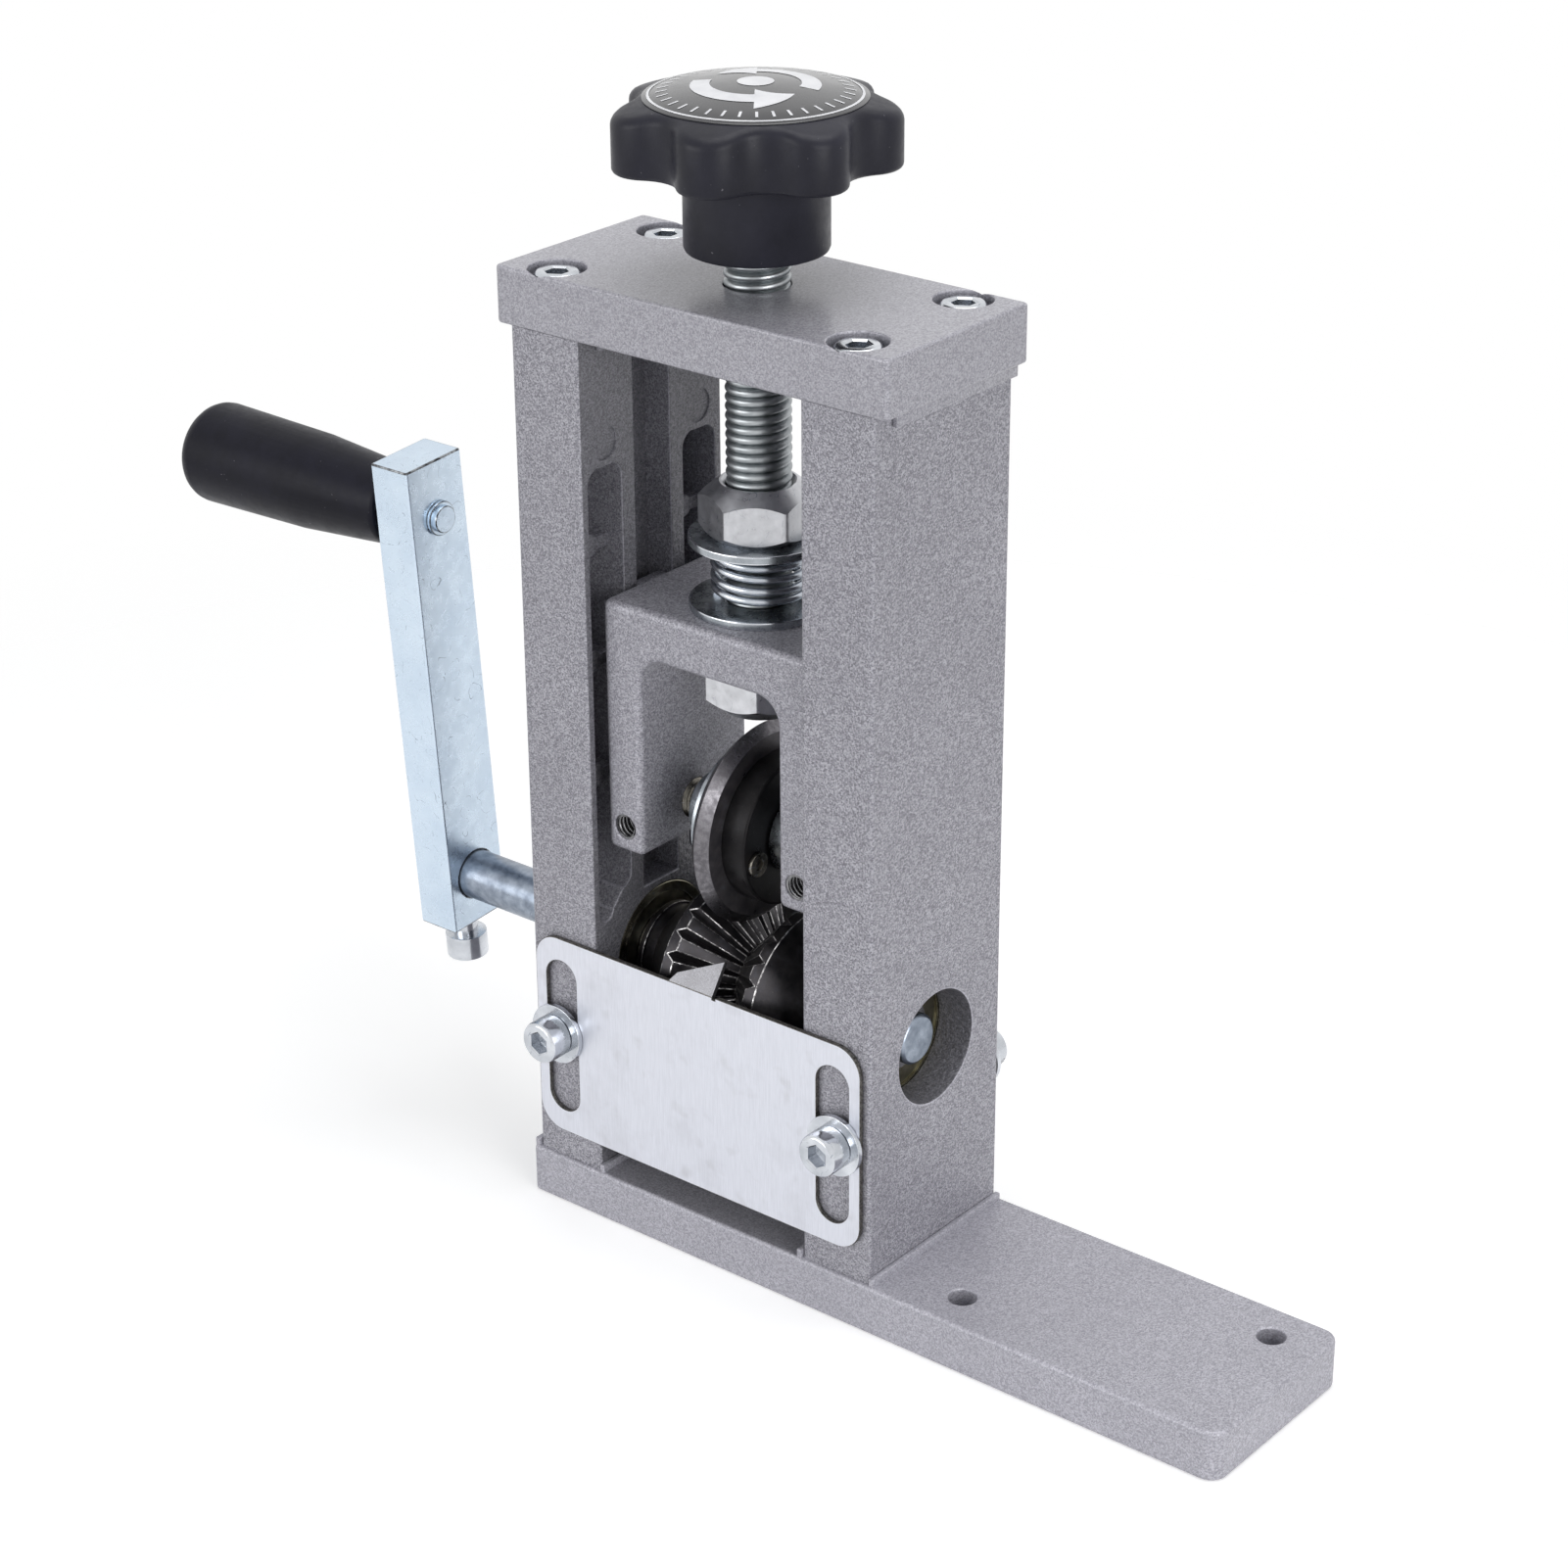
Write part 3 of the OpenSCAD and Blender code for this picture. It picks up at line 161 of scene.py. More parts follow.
class Surface:
    """One material, whose nodes are joined a step at a time."""

    def __init__(self, name, metal, rough):
        self.material = bpy.data.materials.new(name)
        self.material.use_nodes = True
        self.tree = self.material.node_tree
        self.shader = self.tree.nodes["Principled BSDF"]
        self.place = self.node("ShaderNodeTexCoord").outputs["Object"]
        self.relief = None
        self.set(Metallic=metal, Roughness=rough)

    def node(self, kind, *first_inputs, **others):
        return add_node(self.tree, kind, *first_inputs, **others)

    def set(self, **values):
        """Feeds the shader's own sockets, by name with spaces for underscores."""
        for key, value in values.items():
            feed(self.tree, self.shader.inputs[key.replace("_", " ")], value)

    def noise(self, grain, detail=2, sharp=0.5, along=(1, 1, 1)):
        """Cloudy noise whose patches are about one grain wide, squeezed by a share along each axis."""
        place = self.node("ShaderNodeMapping", Vector=self.place, Scale=along).outputs[0]
        made = self.node("ShaderNodeTexNoise", Vector=place, Scale=1/grain, Detail=detail, Roughness=sharp)
        return made.outputs[0]

    def flakes(self, grain):
        """A random value for each of many small cells, as metal flakes in paint give."""
        return self.node("ShaderNodeTexVoronoi", Vector=self.place, Scale=1/grain).outputs["Color"]

    def hairlines(self, grain, width_share):
        """Thin broken scratches, where a smooth noise passes its middle value."""
        from_middle = maths(self.tree, "SUBTRACT", self.noise(grain, 1, 0.3), 0.5)
        line = self.between(maths(self.tree, "ABSOLUTE", from_middle), 0, width_share, 1, 0)
        breaks = self.between(self.noise(grain*0.3), 0.5, 0.58, 0, 1)
        return maths(self.tree, "MULTIPLY", line, breaks)

    def between(self, value, low, high, start, end):
        """Carries a value from the range low to high over to start to end."""
        return self.node("ShaderNodeMapRange", value, low, high, start, end).outputs[0]

    def spread(self, noise, start, end):
        """Carries the middle range of a noise over to start to end."""
        return self.between(noise, 0.3, 0.7, start, end)

    def colours(self, value, *stops):
        """A colour ramp through stops of place and colour."""
        made = self.node("ShaderNodeValToRGB", value)
        ramp = made.color_ramp
        while len(ramp.elements) < len(stops):
            ramp.elements.new(1)
        for element, (where, colour) in zip(ramp.elements, stops):
            element.position = where
            element.color = paint(*colour)
        return made.outputs["Color"]

    def over(self, base, share, colour):
        """A colour laid over a base by a share."""
        made = self.node("ShaderNodeMix", share, settings={"data_type": "RGBA"})
        feed(self.tree, made.inputs[6], base)
        feed(self.tree, made.inputs[7], paint(*colour))
        return made.outputs[2]

    def marks(self, base, noise, low, high, share, colour):
        """A colour laid over a base up to a share, where a noise passes from low to high."""
        return self.over(base, self.between(noise, low, high, 0, share), colour)

    def bump(self, height, depth):
        """Adds relief of a depth in metres to what is there already."""
        made = self.node("ShaderNodeBump", Height=height, Strength=1, Distance=depth)
        if self.relief is not None:
            feed(self.tree, made.inputs["Normal"], self.relief)
        self.relief = made.outputs[0]
        self.set(Normal=self.relief)


def cast(name, relief_grain=0.9*mm, relief_depth=0.05*mm, tone_share=1, flake_spread=36,
         coat_share=0.06):
    """Silver-grey metallic powder coat over a casting, with a spread of lighter and darker flakes. A tone
    share other than one makes a lighter or darker copy of the same paint, which some parts take as painted
    light and others as painted shade.
    """
    flake_w = 0.26*mm
    patch_w = 24*mm
    gloss_w = 0.5*mm
    skin_w = 0.25*mm
    skin_depth = 0.03*mm
    grey = (152, 151, 159)
    made = Surface(name, 0.2, 0.45)
    dark, middle, light = [[min(c*tone_share + step, 250) for c in grey]
                           for step in (-flake_spread, 0, flake_spread)]
    grain = made.colours(made.flakes(flake_w), (0.15, dark), (0.5, middle), (0.85, light))
    made.set(Base_Color=made.marks(grain, made.noise(patch_w, 3), 0.3, 0.7, 0.2, dark),
             Roughness=made.spread(made.noise(gloss_w), 0.42, 0.56),
             Coat_Weight=coat_share, Coat_Roughness=0.2)
    made.bump(made.noise(relief_grain, 3), relief_depth)
    made.bump(made.noise(skin_w, 1), skin_depth)
    return made.material


def plated(name, light, dark, rough_low, rough_high, cloud_w, scratch_share, along=(1, 1, 1)):
    """Bright zinc plate with a cloudy tint, fine scratches and a slight grain."""
    scratch_w = 0.35*mm
    scratch_depth = 0.004*mm
    hair_w = 4.5*mm
    hair_depth = 0.01*mm
    gloss_w = 2*mm
    made = Surface(name, 1, 0.3)
    scratch = made.noise(scratch_w, 2, 0.7, along)
    hair = made.hairlines(hair_w, 0.005)
    cloudy = made.colours(made.noise(cloud_w, 3, 0.55), (0.3, dark), (0.7, light))
    streaked = made.marks(cloudy, scratch, 0.6, 0.8, scratch_share, dark)
    made.set(Base_Color=made.over(streaked, hair, (128, 137, 149)),
             Roughness=made.spread(made.noise(gloss_w, 4, 0.6), rough_low, rough_high))
    made.bump(scratch, scratch_depth)
    made.bump(hair, -hair_depth)
    return made.material


def blackened(name, metal, tone_share, shine_share):
    """Blackened steel, slightly brown and blue in patches."""
    patch_w = 3*mm
    speck_w = 0.4*mm
    speck_depth = 0.01*mm
    made = Surface(name, metal, 0.38)
    patch = made.noise(patch_w, 4, 0.65)
    speck = made.noise(speck_w, 2, 0.6)
    stops = [(where, [c*tone_share for c in colour])
             for where, colour in ((0.3, (44, 43, 47)), (0.55, (58, 56, 58)), (0.75, (68, 68, 74)))]
    specked = made.marks(made.colours(patch, *stops), speck, 0.66, 0.8, 0.3, (120, 118, 118))
    made.set(Base_Color=specked, Roughness=made.spread(patch, 0.27, 0.48), Specular_IOR_Level=shine_share)
    made.bump(speck, speck_depth)
    return made.material


def wear_and_painted_reflection(name, dark, light):
    """Bare steel where a blackened or ground face has rubbed bright; on the crank arm's edges the same dark
    and light patches are painted dark and light reflection lines.
    """
    patch_w = 1.2*mm
    grain_w = 0.4*mm
    grain_depth = 0.008*mm
    made = Surface(name, 1, 0.32)
    patch = made.noise(patch_w, 3, 0.7)
    made.set(Base_Color=made.colours(patch, (0.4, dark), (0.62, light)),
             Roughness=made.spread(patch, 0.42, 0.24))
    made.bump(made.noise(grain_w), grain_depth)
    return made.material


def brushed(name, dark, light, stain):
    """Stainless sheet brushed along its length, with faint smudges and stains."""
    streak_w = 0.16*mm
    streak_depth = 0.001*mm
    smudge_w = 14*mm
    spot_w = 5*mm
    made = Surface(name, 1, 0.32)
    streak = made.noise(streak_w, 3, 0.65, (1, 1, 0.04))
    smudge = made.noise(smudge_w, 4, 0.6)
    base = made.colours(streak, (0.3, dark), (0.7, light))
    clouded = made.marks(base, smudge, 0.52, 0.75, 0.5, stain)
    spotted = made.marks(clouded, made.noise(spot_w), 0.6, 0.8, 0.25, (146, 144, 143))
    made.set(Base_Color=spotted, Roughness=made.spread(smudge, 0.32, 0.44), Anisotropic=0.3)
    made.bump(streak, streak_depth)
    return made.material


def sheared(name):
    """The dark sheared edge of a steel sheet."""
    streak_w = 0.4*mm
    streak_depth = 0.02*mm
    made = Surface(name, 0.9, 0.5)
    streak = made.noise(streak_w, 3, 0.7)
    made.set(Base_Color=made.colours(streak, (0.35, (60, 58, 56)), (0.7, (132, 130, 126))),
             Roughness=made.spread(streak, 0.42, 0.6))
    made.bump(streak, streak_depth)
    return made.material


def drawn_wire(name):
    """Polished spring wire with drawing marks and a little dirt."""
    cloud_w = 6*mm
    mark_w = 0.5*mm
    mark_depth = 0.002*mm
    made = Surface(name, 1, 0.18)
    cloud = made.noise(cloud_w, 3)
    made.set(Base_Color=made.colours(cloud, (0.3, (172, 178, 186)), (0.7, (208, 212, 219))),
             Roughness=made.spread(cloud, 0.27, 0.2))
    made.bump(made.noise(mark_w), mark_depth)
    return made.material


def moulded(name, skin_w, colour, dust, scratch_share, shine_share):
    """Black moulded plastic or rubber with a fine skin, faint dust and scratches."""
    skin_depth = 0.012*mm
    scratch_w = 0.8*mm
    scratch_depth = 0.005*mm
    cloud_w = 12*mm
    speck_w = 0.7*mm
    gloss_w = 2*mm
    made = Surface(name, 0, 0.4)
    scratch = made.noise(scratch_w, 3, 0.75, (0.12, 1, 0.5))
    dusty = made.marks(paint(*colour), made.noise(cloud_w, 4, 0.6), 0.4, 0.75, 0.5, dust)
    scratched = made.marks(dusty, scratch, 0.64, 0.8, scratch_share, dust)
    speck = made.noise(speck_w, 1, 0.3)
    made.set(Base_Color=made.marks(scratched, speck, 0.78, 0.84, 0.6, (128, 127, 134)),
             Roughness=made.spread(made.noise(gloss_w, 4, 0.65), 0.34, 0.46),
             Specular_IOR_Level=shine_share)
    made.bump(made.noise(skin_w), skin_depth)
    made.bump(scratch, scratch_depth)
    return made.material


def printed(name, dark, light, rough):
    """Glossy printed film."""
    cloud_w = 5*mm
    ripple_w = 1.5*mm
    ripple_depth = 0.01*mm
    made = Surface(name, 0, rough)
    cloud = made.noise(cloud_w, 3)
    made.set(Base_Color=made.colours(cloud, (0.3, dark), (0.7, light)),
             Roughness=made.spread(cloud, rough, rough*1.5), Coat_Weight=0.5, Coat_Roughness=0.12)
    made.bump(made.noise(ripple_w), ripple_depth)
    return made.material


# Paints with the grain and the depth of their relief where it differs
cast_paint = cast("cast_paint")
# The base plate's lighter paint is partly its own tone and partly painted light from above.
plate_paint = cast("plate_paint", 1.2*mm, 0.04*mm, tone_share=1.11, flake_spread=24, coat_share=0.16)
# The top plate's slightly lighter paint is painted light on its top face; its clear coat is its real gloss.
top_paint = cast("top_paint", 1.2*mm, 0.03*mm, tone_share=1.04, flake_spread=24, coat_share=0.6)
# The yoke's lighter paint is painted light on its front.
yoke_paint = cast("yoke_paint", tone_share=1.06)
# A lighter copy of the paint for the columns' rounded edges: a painted highlight along them.
edge_paint = cast("edge_paint", tone_share=1.16, flake_spread=24)
# A darker, rougher copy for the faces inside the tower and the bearing seats: the relief is the rough cast
# skin, and the darkening is partly that skin and partly painted shade.
rough_paint_painted_shade = cast("rough_cast_paint", 1*mm, 0.36*mm, tone_share=0.76, flake_spread=24, coat_share=0.12)
# Metals with their light and dark colours, their range of roughness, cloud width and share of scratches
arm_zinc = plated("arm_zinc", (208, 222, 235), (197, 212, 227), 0.22, 0.36, 9*mm, 0.4, along=(1, 1, 0.05))
zinc_plate = plated("zinc_plate", (217, 220, 225), (184, 188, 194), 0.14, 0.24, 5*mm, 0.15)
dull_zinc = plated("dull_zinc", (206, 207, 211), (184, 185, 189), 0.26, 0.36, 2*mm, 0.2)
washer_zinc = plated("washer_zinc", (182, 187, 192), (142, 148, 154), 0.23, 0.33, 4*mm, 0.4)
shaft_zinc = plated("shaft_zinc", (158, 167, 180), (114, 123, 136), 0.26, 0.38, 2.4*mm, 0.6,
                    along=(0.1, 1, 1))
turned_steel = plated("turned_steel", (204, 204, 206), (172, 172, 175), 0.16, 0.26, 4*mm, 0.2)
rod_steel = plated("rod_steel", (180, 184, 186), (142, 147, 150), 0.32, 0.44, 3*mm, 0.2)
thread_steel = plated("thread_steel", (150, 150, 152), (84, 84, 86), 0.18, 0.3, 1.5*mm, 0.4)
dark_steel = plated("dark_steel", (128, 124, 116), (74, 72, 68), 0.24, 0.36, 1.5*mm, 0.3)
bearing_steel = plated("bearing_steel", (176, 172, 152), (128, 124, 106), 0.18, 0.28, 3*mm, 0.2)
shield_steel = plated("shield_steel", (150, 146, 126), (104, 100, 86), 0.28, 0.4, 3*mm, 0.2)
black_steel = blackened("black_steel", metal=0.85, tone_share=1, shine_share=0.5)
blade_black = blackened("blade_black", metal=0.5, tone_share=1.4, shine_share=0.4)
boss_black = blackened("boss_black", metal=0.3, tone_share=0.6, shine_share=0.12)
worn_edge = wear_and_painted_reflection("worn_edge", (72, 70, 72), (216, 214, 214))
# The crank arm's eased edges: dark and light patches that are a painted reflection.
arm_edge = wear_and_painted_reflection("arm_edge", (58, 57, 60), (158, 162, 166))
ground_steel = wear_and_painted_reflection("ground_steel", (96, 94, 98), (122, 120, 124))
brushed_steel = brushed("brushed_steel", (205, 207, 215), (217, 219, 227), stain=(186, 187, 193))
# A darker copy of the brushed sheet for the bent tabs: painted shade.
tab_steel = brushed("tab_steel", (112, 112, 116), (150, 150, 154), stain=(100, 98, 98))
cut_edge = sheared("cut_edge")
spring_steel = drawn_wire("spring_steel")
knob_plastic = moulded("knob_plastic", 0.5*mm, (31, 31, 39), (51, 51, 62), scratch_share=0.3,
                       shine_share=0.2)
grip_rubber = moulded("grip_rubber", 0.7*mm, (15, 15, 24), (36, 36, 50), scratch_share=0.4,
                      shine_share=0.14)
label_film = printed("label_film", (26, 26, 30), (34, 34, 39), rough=0.2)
label_print = printed("label_print", (214, 215, 220), (236, 237, 240), rough=0.3)


# Building and finishing meshes

weld_gap = 0.001*mm
flat_angle = math.radians(0.4)
edge_angle = math.radians(32)


def new_piece(name, mesh, *materials):
    piece = bpy.data.objects.new(name, mesh)
    bpy.context.scene.collection.objects.link(piece)
    for material in materials:
        mesh.materials.append(material)
    return piece


def mesh_from(shape, name):
    """Turns a bmesh into a mesh whose faces all shade smooth, up to its sharp edges."""
    mesh = bpy.data.meshes.new(name)
    for face in shape.faces:
        face.smooth = True
    shape.to_mesh(mesh)
    shape.free()
    mesh.set_sharp_from_angle(angle=edge_angle)
    return mesh


def skinned(name, shape, *materials):
    """A piece made of a closed skin, whose faces are turned outwards."""
    bmesh.ops.recalc_face_normals(shape, faces=shape.faces)
    return new_piece(name, mesh_from(shape, name), *materials)


def baked(piece):
    """Applies the piece's modifiers, so that a plain mesh is left."""
    graph = bpy.context.evaluated_depsgraph_get()
    made = bpy.data.meshes.new_from_object(piece.evaluated_get(graph), depsgraph=graph)
    piece.modifiers.clear()
    old = piece.data
    piece.data = made
    made.name = piece.name
    bpy.data.meshes.remove(old)
    return piece


def flattened(piece):
    """Keeps big flat faces flat beside their rounded edges, and bakes the piece."""
    normals = piece.modifiers.new("normals", "WEIGHTED_NORMAL")
    normals.weight = 100
    normals.keep_sharp = True
    return baked(piece)


def bevelled(piece, width, edge_slot=-1):
    """Rounds a piece's marked edges, with an own material on them where one is given."""
    bevel = piece.modifiers.new("edges", "BEVEL")
    bevel.width = width
    bevel.segments = 2
    bevel.limit_method = "WEIGHT"
    bevel.use_clamp_overlap = False
    bevel.loop_slide = False
    bevel.material = edge_slot
    baked(piece).data.set_sharp_from_angle(angle=edge_angle)
    return flattened(piece)


def outer_edge(edge):
    """Whether an edge is convex and sharp, so that it is eased."""
    return len(edge.link_faces) == 2 and edge.is_convex and edge.calc_face_angle(0) > edge_angle


def copy_of(node, *materials, eased=outer_edge):
    """A copy of a CAD node whose loose triangles are joined into whole faces."""
    shape = bmesh.new()
    shape.from_mesh(frame["nodes"][node].data)
    bmesh.ops.remove_doubles(shape, verts=shape.verts, dist=weld_gap)
    bmesh.ops.dissolve_limit(shape, angle_limit=flat_angle, use_dissolve_boundaries=False,
                             verts=shape.verts, edges=shape.edges, delimit=set())
    marked = shape.edges.layers.float.new("bevel_weight_edge")
    for edge in shape.edges:
        edge[marked] = 1 if eased(edge) else 0
    mesh = bpy.data.meshes.new(node + "_piece")
    for face in shape.faces:
        face.smooth = True
        face.material_index = 0
    shape.to_mesh(mesh)
    shape.free()
    if "custom_normal" in mesh.attributes:
        mesh.attributes.remove(mesh.attributes["custom_normal"])
    return new_piece(node + "_piece", mesh, *materials)


def settle(piece, slot, *nodes):
    """Hides the CAD nodes that a piece stands for and makes it move with the first one's body. The slot, a
    name for its finish, is not used.
    """
    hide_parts(*nodes)
    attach(piece, frame["nodes"][nodes[0]]["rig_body"])


def ring(r, z, count, wave=0.0, af=0.0):
    """Points of a circle, of a knurled circle or of a hexagon, at a height."""
    points = []
    for i in range(count):
        a = i*full_turn/count
        reach = r - wave*(i % 2)
        if af:
            reach = af/2/math.cos((a + full_turn/12) % (full_turn/6) - full_turn/12)
        points.append(Vector((reach*math.cos(a), reach*math.sin(a), z)))
    return points


def add_rows(shape, rows):
    """Joins closed rows of points into a skin. A row of one point closes an end."""
    made = [[shape.verts.new(p) for p in row] for row in rows]
    for low, high in zip(made, made[1:]):
        count = max(len(low), len(high))
        for i in range(count):
            j = (i + 1) % count
            corners = [low[i % len(low)], low[j % len(low)], high[j % len(high)], high[i % len(high)]]
            corners = [c for n, c in enumerate(corners) if c not in corners[:n]]
            shape.faces.new(corners)


def helical_thread(shape, crest_r, root_r, pitch, low_z, high_z, around, inward=False):
    """A real thread with rounded crests and narrow roots, cut off flat at both ends."""
    per_turn = 8
    swells = [math.sqrt(math.sin(half_turn*n/per_turn)) for n in range(per_turn)]
    turns = math.ceil((high_z - low_z)/pitch) + 2
    columns = []
    for j in range(around):
        a = j*full_turn/around
        column = []
        for i in range(turns*per_turn):
            r = root_r + (crest_r - root_r)*swells[i % per_turn]
            z = low_z + (i/per_turn + j/around - 1)*pitch
            z = min(max(z, low_z), high_z)
            column.append(shape.verts.new((r*math.cos(a), r*math.sin(a), z)))
        columns.append(column)
    for j in range(around):
        here, there = columns[j], columns[(j + 1) % around]
        slip = per_turn if j == around - 1 else 0
        for i in range(turns*per_turn - 1 - slip):
            corners = [here[i], there[i + slip], there[i + 1 + slip], here[i + 1]]
            shape.faces.new(corners)
    bmesh.ops.remove_doubles(shape, verts=shape.verts, dist=weld_gap)
    if inward:
        bmesh.ops.reverse_faces(shape, faces=shape.faces)


# Geometry Nodes that repeat a shape

def new_tree(name, takes_mesh=False, **kinds):
    """An empty tree with named inputs. It gives the tree, the inputs' sockets and their identifiers."""
    tree = bpy.data.node_groups.new(name, "GeometryNodeTree")
    tree.is_modifier = True
    if takes_mesh:
        tree.interface.new_socket("Geometry", in_out="INPUT", socket_type="NodeSocketGeometry")
    tree.interface.new_socket("Geometry", in_out="OUTPUT", socket_type="NodeSocketGeometry")
    names = {}
    for key, kind in kinds.items():
        label = key.replace("_", " ")
        socket = tree.interface.new_socket(label, in_out="INPUT", socket_type="NodeSocket" + kind)
        names[key] = socket.identifier
    return tree, tree.nodes.new("NodeGroupInput").outputs, names


def end_tree(tree, geometry, surface):
    """Ends a tree in plain geometry of one material."""
    solid = add_node(tree, "GeometryNodeRealizeInstances", geometry).outputs[0]
    surfaced = add_node(tree, "GeometryNodeSetMaterial", solid, Material=surface).outputs[0]
    add_node(tree, "NodeGroupOutput", surfaced)


def make_ring_tree():
    """Copies of a shape turned in equal steps about an axis through a centre."""
    tree, given, names = new_tree("ring_of_copies", Shape="Object", Count="Int", Centre="Vector",
                                  Axis="Vector", First_turn="Float", Surface="Material")
    points = add_node(tree, "GeometryNodePoints", Count=given["Count"], Position=given["Centre"])
    shape = add_node(tree, "GeometryNodeObjectInfo", Object=given["Shape"])
    index = add_node(tree, "GeometryNodeInputIndex").outputs[0]
    share = maths(tree, "DIVIDE", index, given["Count"])
    angle = maths(tree, "MULTIPLY_ADD", share, full_turn, given["First turn"])
    turn = add_node(tree, "FunctionNodeAxisAngleToRotation", Axis=given["Axis"], Angle=angle).outputs[0]
    copies = add_node(tree, "GeometryNodeInstanceOnPoints", Points=points.outputs[0],
                      Instance=shape.outputs["Geometry"], Rotation=turn)
    end_tree(tree, copies.outputs[0], given["Surface"])
    return tree, names


def make_places_tree():
    """A copy of a shape on each point of the piece's own mesh, all turned alike."""
    tree, given, names = new_tree("copies_at_places", True, Shape="Object", Turn="Rotation",
                                  Surface="Material")
    shape = add_node(tree, "GeometryNodeObjectInfo", Object=given["Shape"])
    copies = add_node(tree, "GeometryNodeInstanceOnPoints", Points=given["Geometry"],
                      Instance=shape.outputs["Geometry"], Rotation=given["Turn"])
    end_tree(tree, copies.outputs[0], given["Surface"])
    return tree, names


def nodes_piece(name, tree_and_names, mesh=None, **values):
    """A piece made by a tree with the given inputs, left as a plain mesh."""
    tree, names = tree_and_names
    piece = new_piece(name, mesh or bpy.data.meshes.new(name))
    made = piece.modifiers.new(name, "NODES")
    made.node_group = tree
    for key, value in values.items():
        made[names[key]] = value
    return baked(piece)


def copies_at(name, shape, places, turn, surface):
    """Copies of a shape at places, and the shape itself taken away."""
    mesh = bpy.data.meshes.new(name)
    mesh.from_pydata([tuple(p) for p in places], [], [])
    piece = nodes_piece(name, places_tree, mesh, Shape=shape, Turn=turn, Surface=surface)
    bpy.data.objects.remove(shape)
    return piece


places_tree = make_places_tree()


# Castings

base_d = 41.2*mm
base_left_x = -42.4*mm
base_right_x = 118*mm
base_edge_r = 0.8*mm
base_corner_r = 3.5*mm
plate_corner_r = 1*mm
column_d = 39.5*mm
column_edge_r = 0.35*mm
top_half_l = 44*mm
top_d = 40.2*mm
top_edge_r = 0.6*mm
tower_screw_x = 33.8*mm
tower_screw_y = 14.75*mm
counterbore_r = 5.35*mm
screw_seat = 5.5*mm
rib_w = 1.1*mm
rib_gap = 0.05*mm
rib_sink = 1*mm
base_rib_inset = 0.4*mm
base_rib_h = 1.6*mm
top_rib_inset = 5*mm
top_rib_h = 2.8*mm
block_edge_r = 0.2*mm
mount_holes = ((56.8*mm, -12.2*mm), (108.1*mm, 12.2*mm))
mount_hole_r = 2.7*mm
hole_flare = 0.35*mm
fine_flare = 0.3*mm
tight_gap = 0.05*mm
near_gap = 0.1*mm
overrun = 1*mm
bearing_seat_r = 12.9*mm
pocket_wall = 2*mm
base_top_z = 10.2*mm
column_top_z = 179.2*mm
pocket_top_z = 154.2*mm
pin_mark_x = 26*mm
pin_mark_y = 13.05*mm
pin_mark_r = 3.6*mm
screw_places = [(x, y) for x in (-tower_screw_x, tower_screw_x) for y in (-tower_screw_y, tower_screw_y)]


def rough_shaded_inner_faces(piece, side):
    """Gives the bearing seat and the faces that look at the middle of the tower the rougher cast skin,
    whose darker paint is partly that rough skin and partly painted shade inside the tower.
    """
    for face in piece.data.polygons:
        reach = abs(face.center.x)
        faces_middle = face.normal.x*side < -0.9 and reach < column_outer_x - pocket_wall
        in_seat = math.hypot(face.center.y, face.center.z - shaft_z) < bearing_seat_r
        if faces_middle or (in_seat and reach < column_outer_x - near_gap):
            face.material_index = 1


def column_edge(edge):
    """The column's outer edges, without its ends and the rims of its shallow pin marks."""
    middle = (edge.verts[0].co + edge.verts[1].co)/2
    at_an_end = middle.z < base_top_z + near_gap or middle.z > column_top_z - near_gap
    at_a_mark = abs(abs(middle.y) - pin_mark_y) < pin_mark_r and abs(middle.x) < pin_mark_x
    return outer_edge(edge) and not at_an_end and not (middle.z > pocket_top_z and at_a_mark)


def arc_points(arcs):
    """Points along arcs, each with its middle, its radius, and its start and way in quarter turns."""
    steps = 6
    points = []
    for x, y, r, start, way in arcs:
        for i in range(steps + 1):
            a = quarter_turn*(start + way*i/steps)
            points.append((x + r*math.cos(a), y + r*math.sin(a)))
    return points


def plate_outline(left, right, depth, left_r, right_r, inset):
    """Points round a plate with round corners, drawn in by an inset."""
    left_y, right_y = depth/2 - left_r, depth/2 - right_r
    left_x, right_x = left + left_r, right - right_r
    return arc_points(((left_x, -left_y, left_r - inset, 2, 1), (right_x, -right_y, right_r - inset, 3, 1),
                       (right_x, right_y, right_r - inset, 0, 1), (left_x, left_y, left_r - inset, 1, 1)))


def rounding(steps):
    """Places on a quarter circle, as one share that falls to zero and one that rises to the whole."""
    turns = [quarter_turn*i/steps for i in range(steps + 1)]
    return [(1 - math.sin(a), 1 - math.cos(a)) for a in turns]


def close_ends(shape, count):
    """Fills a skin's first and last row of points."""
    shape.verts.ensure_lookup_table()
    shape.faces.new(shape.verts[:count])
    shape.faces.new(shape.verts[-count:])


def plate(name, outline, low_z, high_z, edge_r, finish):
    """A plate whose upper and lower edges are rounded."""
    shape = bmesh.new()
    rows = []
    for fall_share, rise_share in rounding(4):
        points = plate_outline(*outline, edge_r*fall_share)
        rows.append([Vector((x, y, low_z + edge_r*rise_share)) for x, y in points])
    for fall_share, rise_share in rounding(4):
        points = plate_outline(*outline, edge_r*rise_share)
        rows.append([Vector((x, y, high_z - edge_r*fall_share)) for x, y in points])
    add_rows(shape, rows)
    close_ends(shape, len(rows[0]))
    return skinned(name, shape, finish)


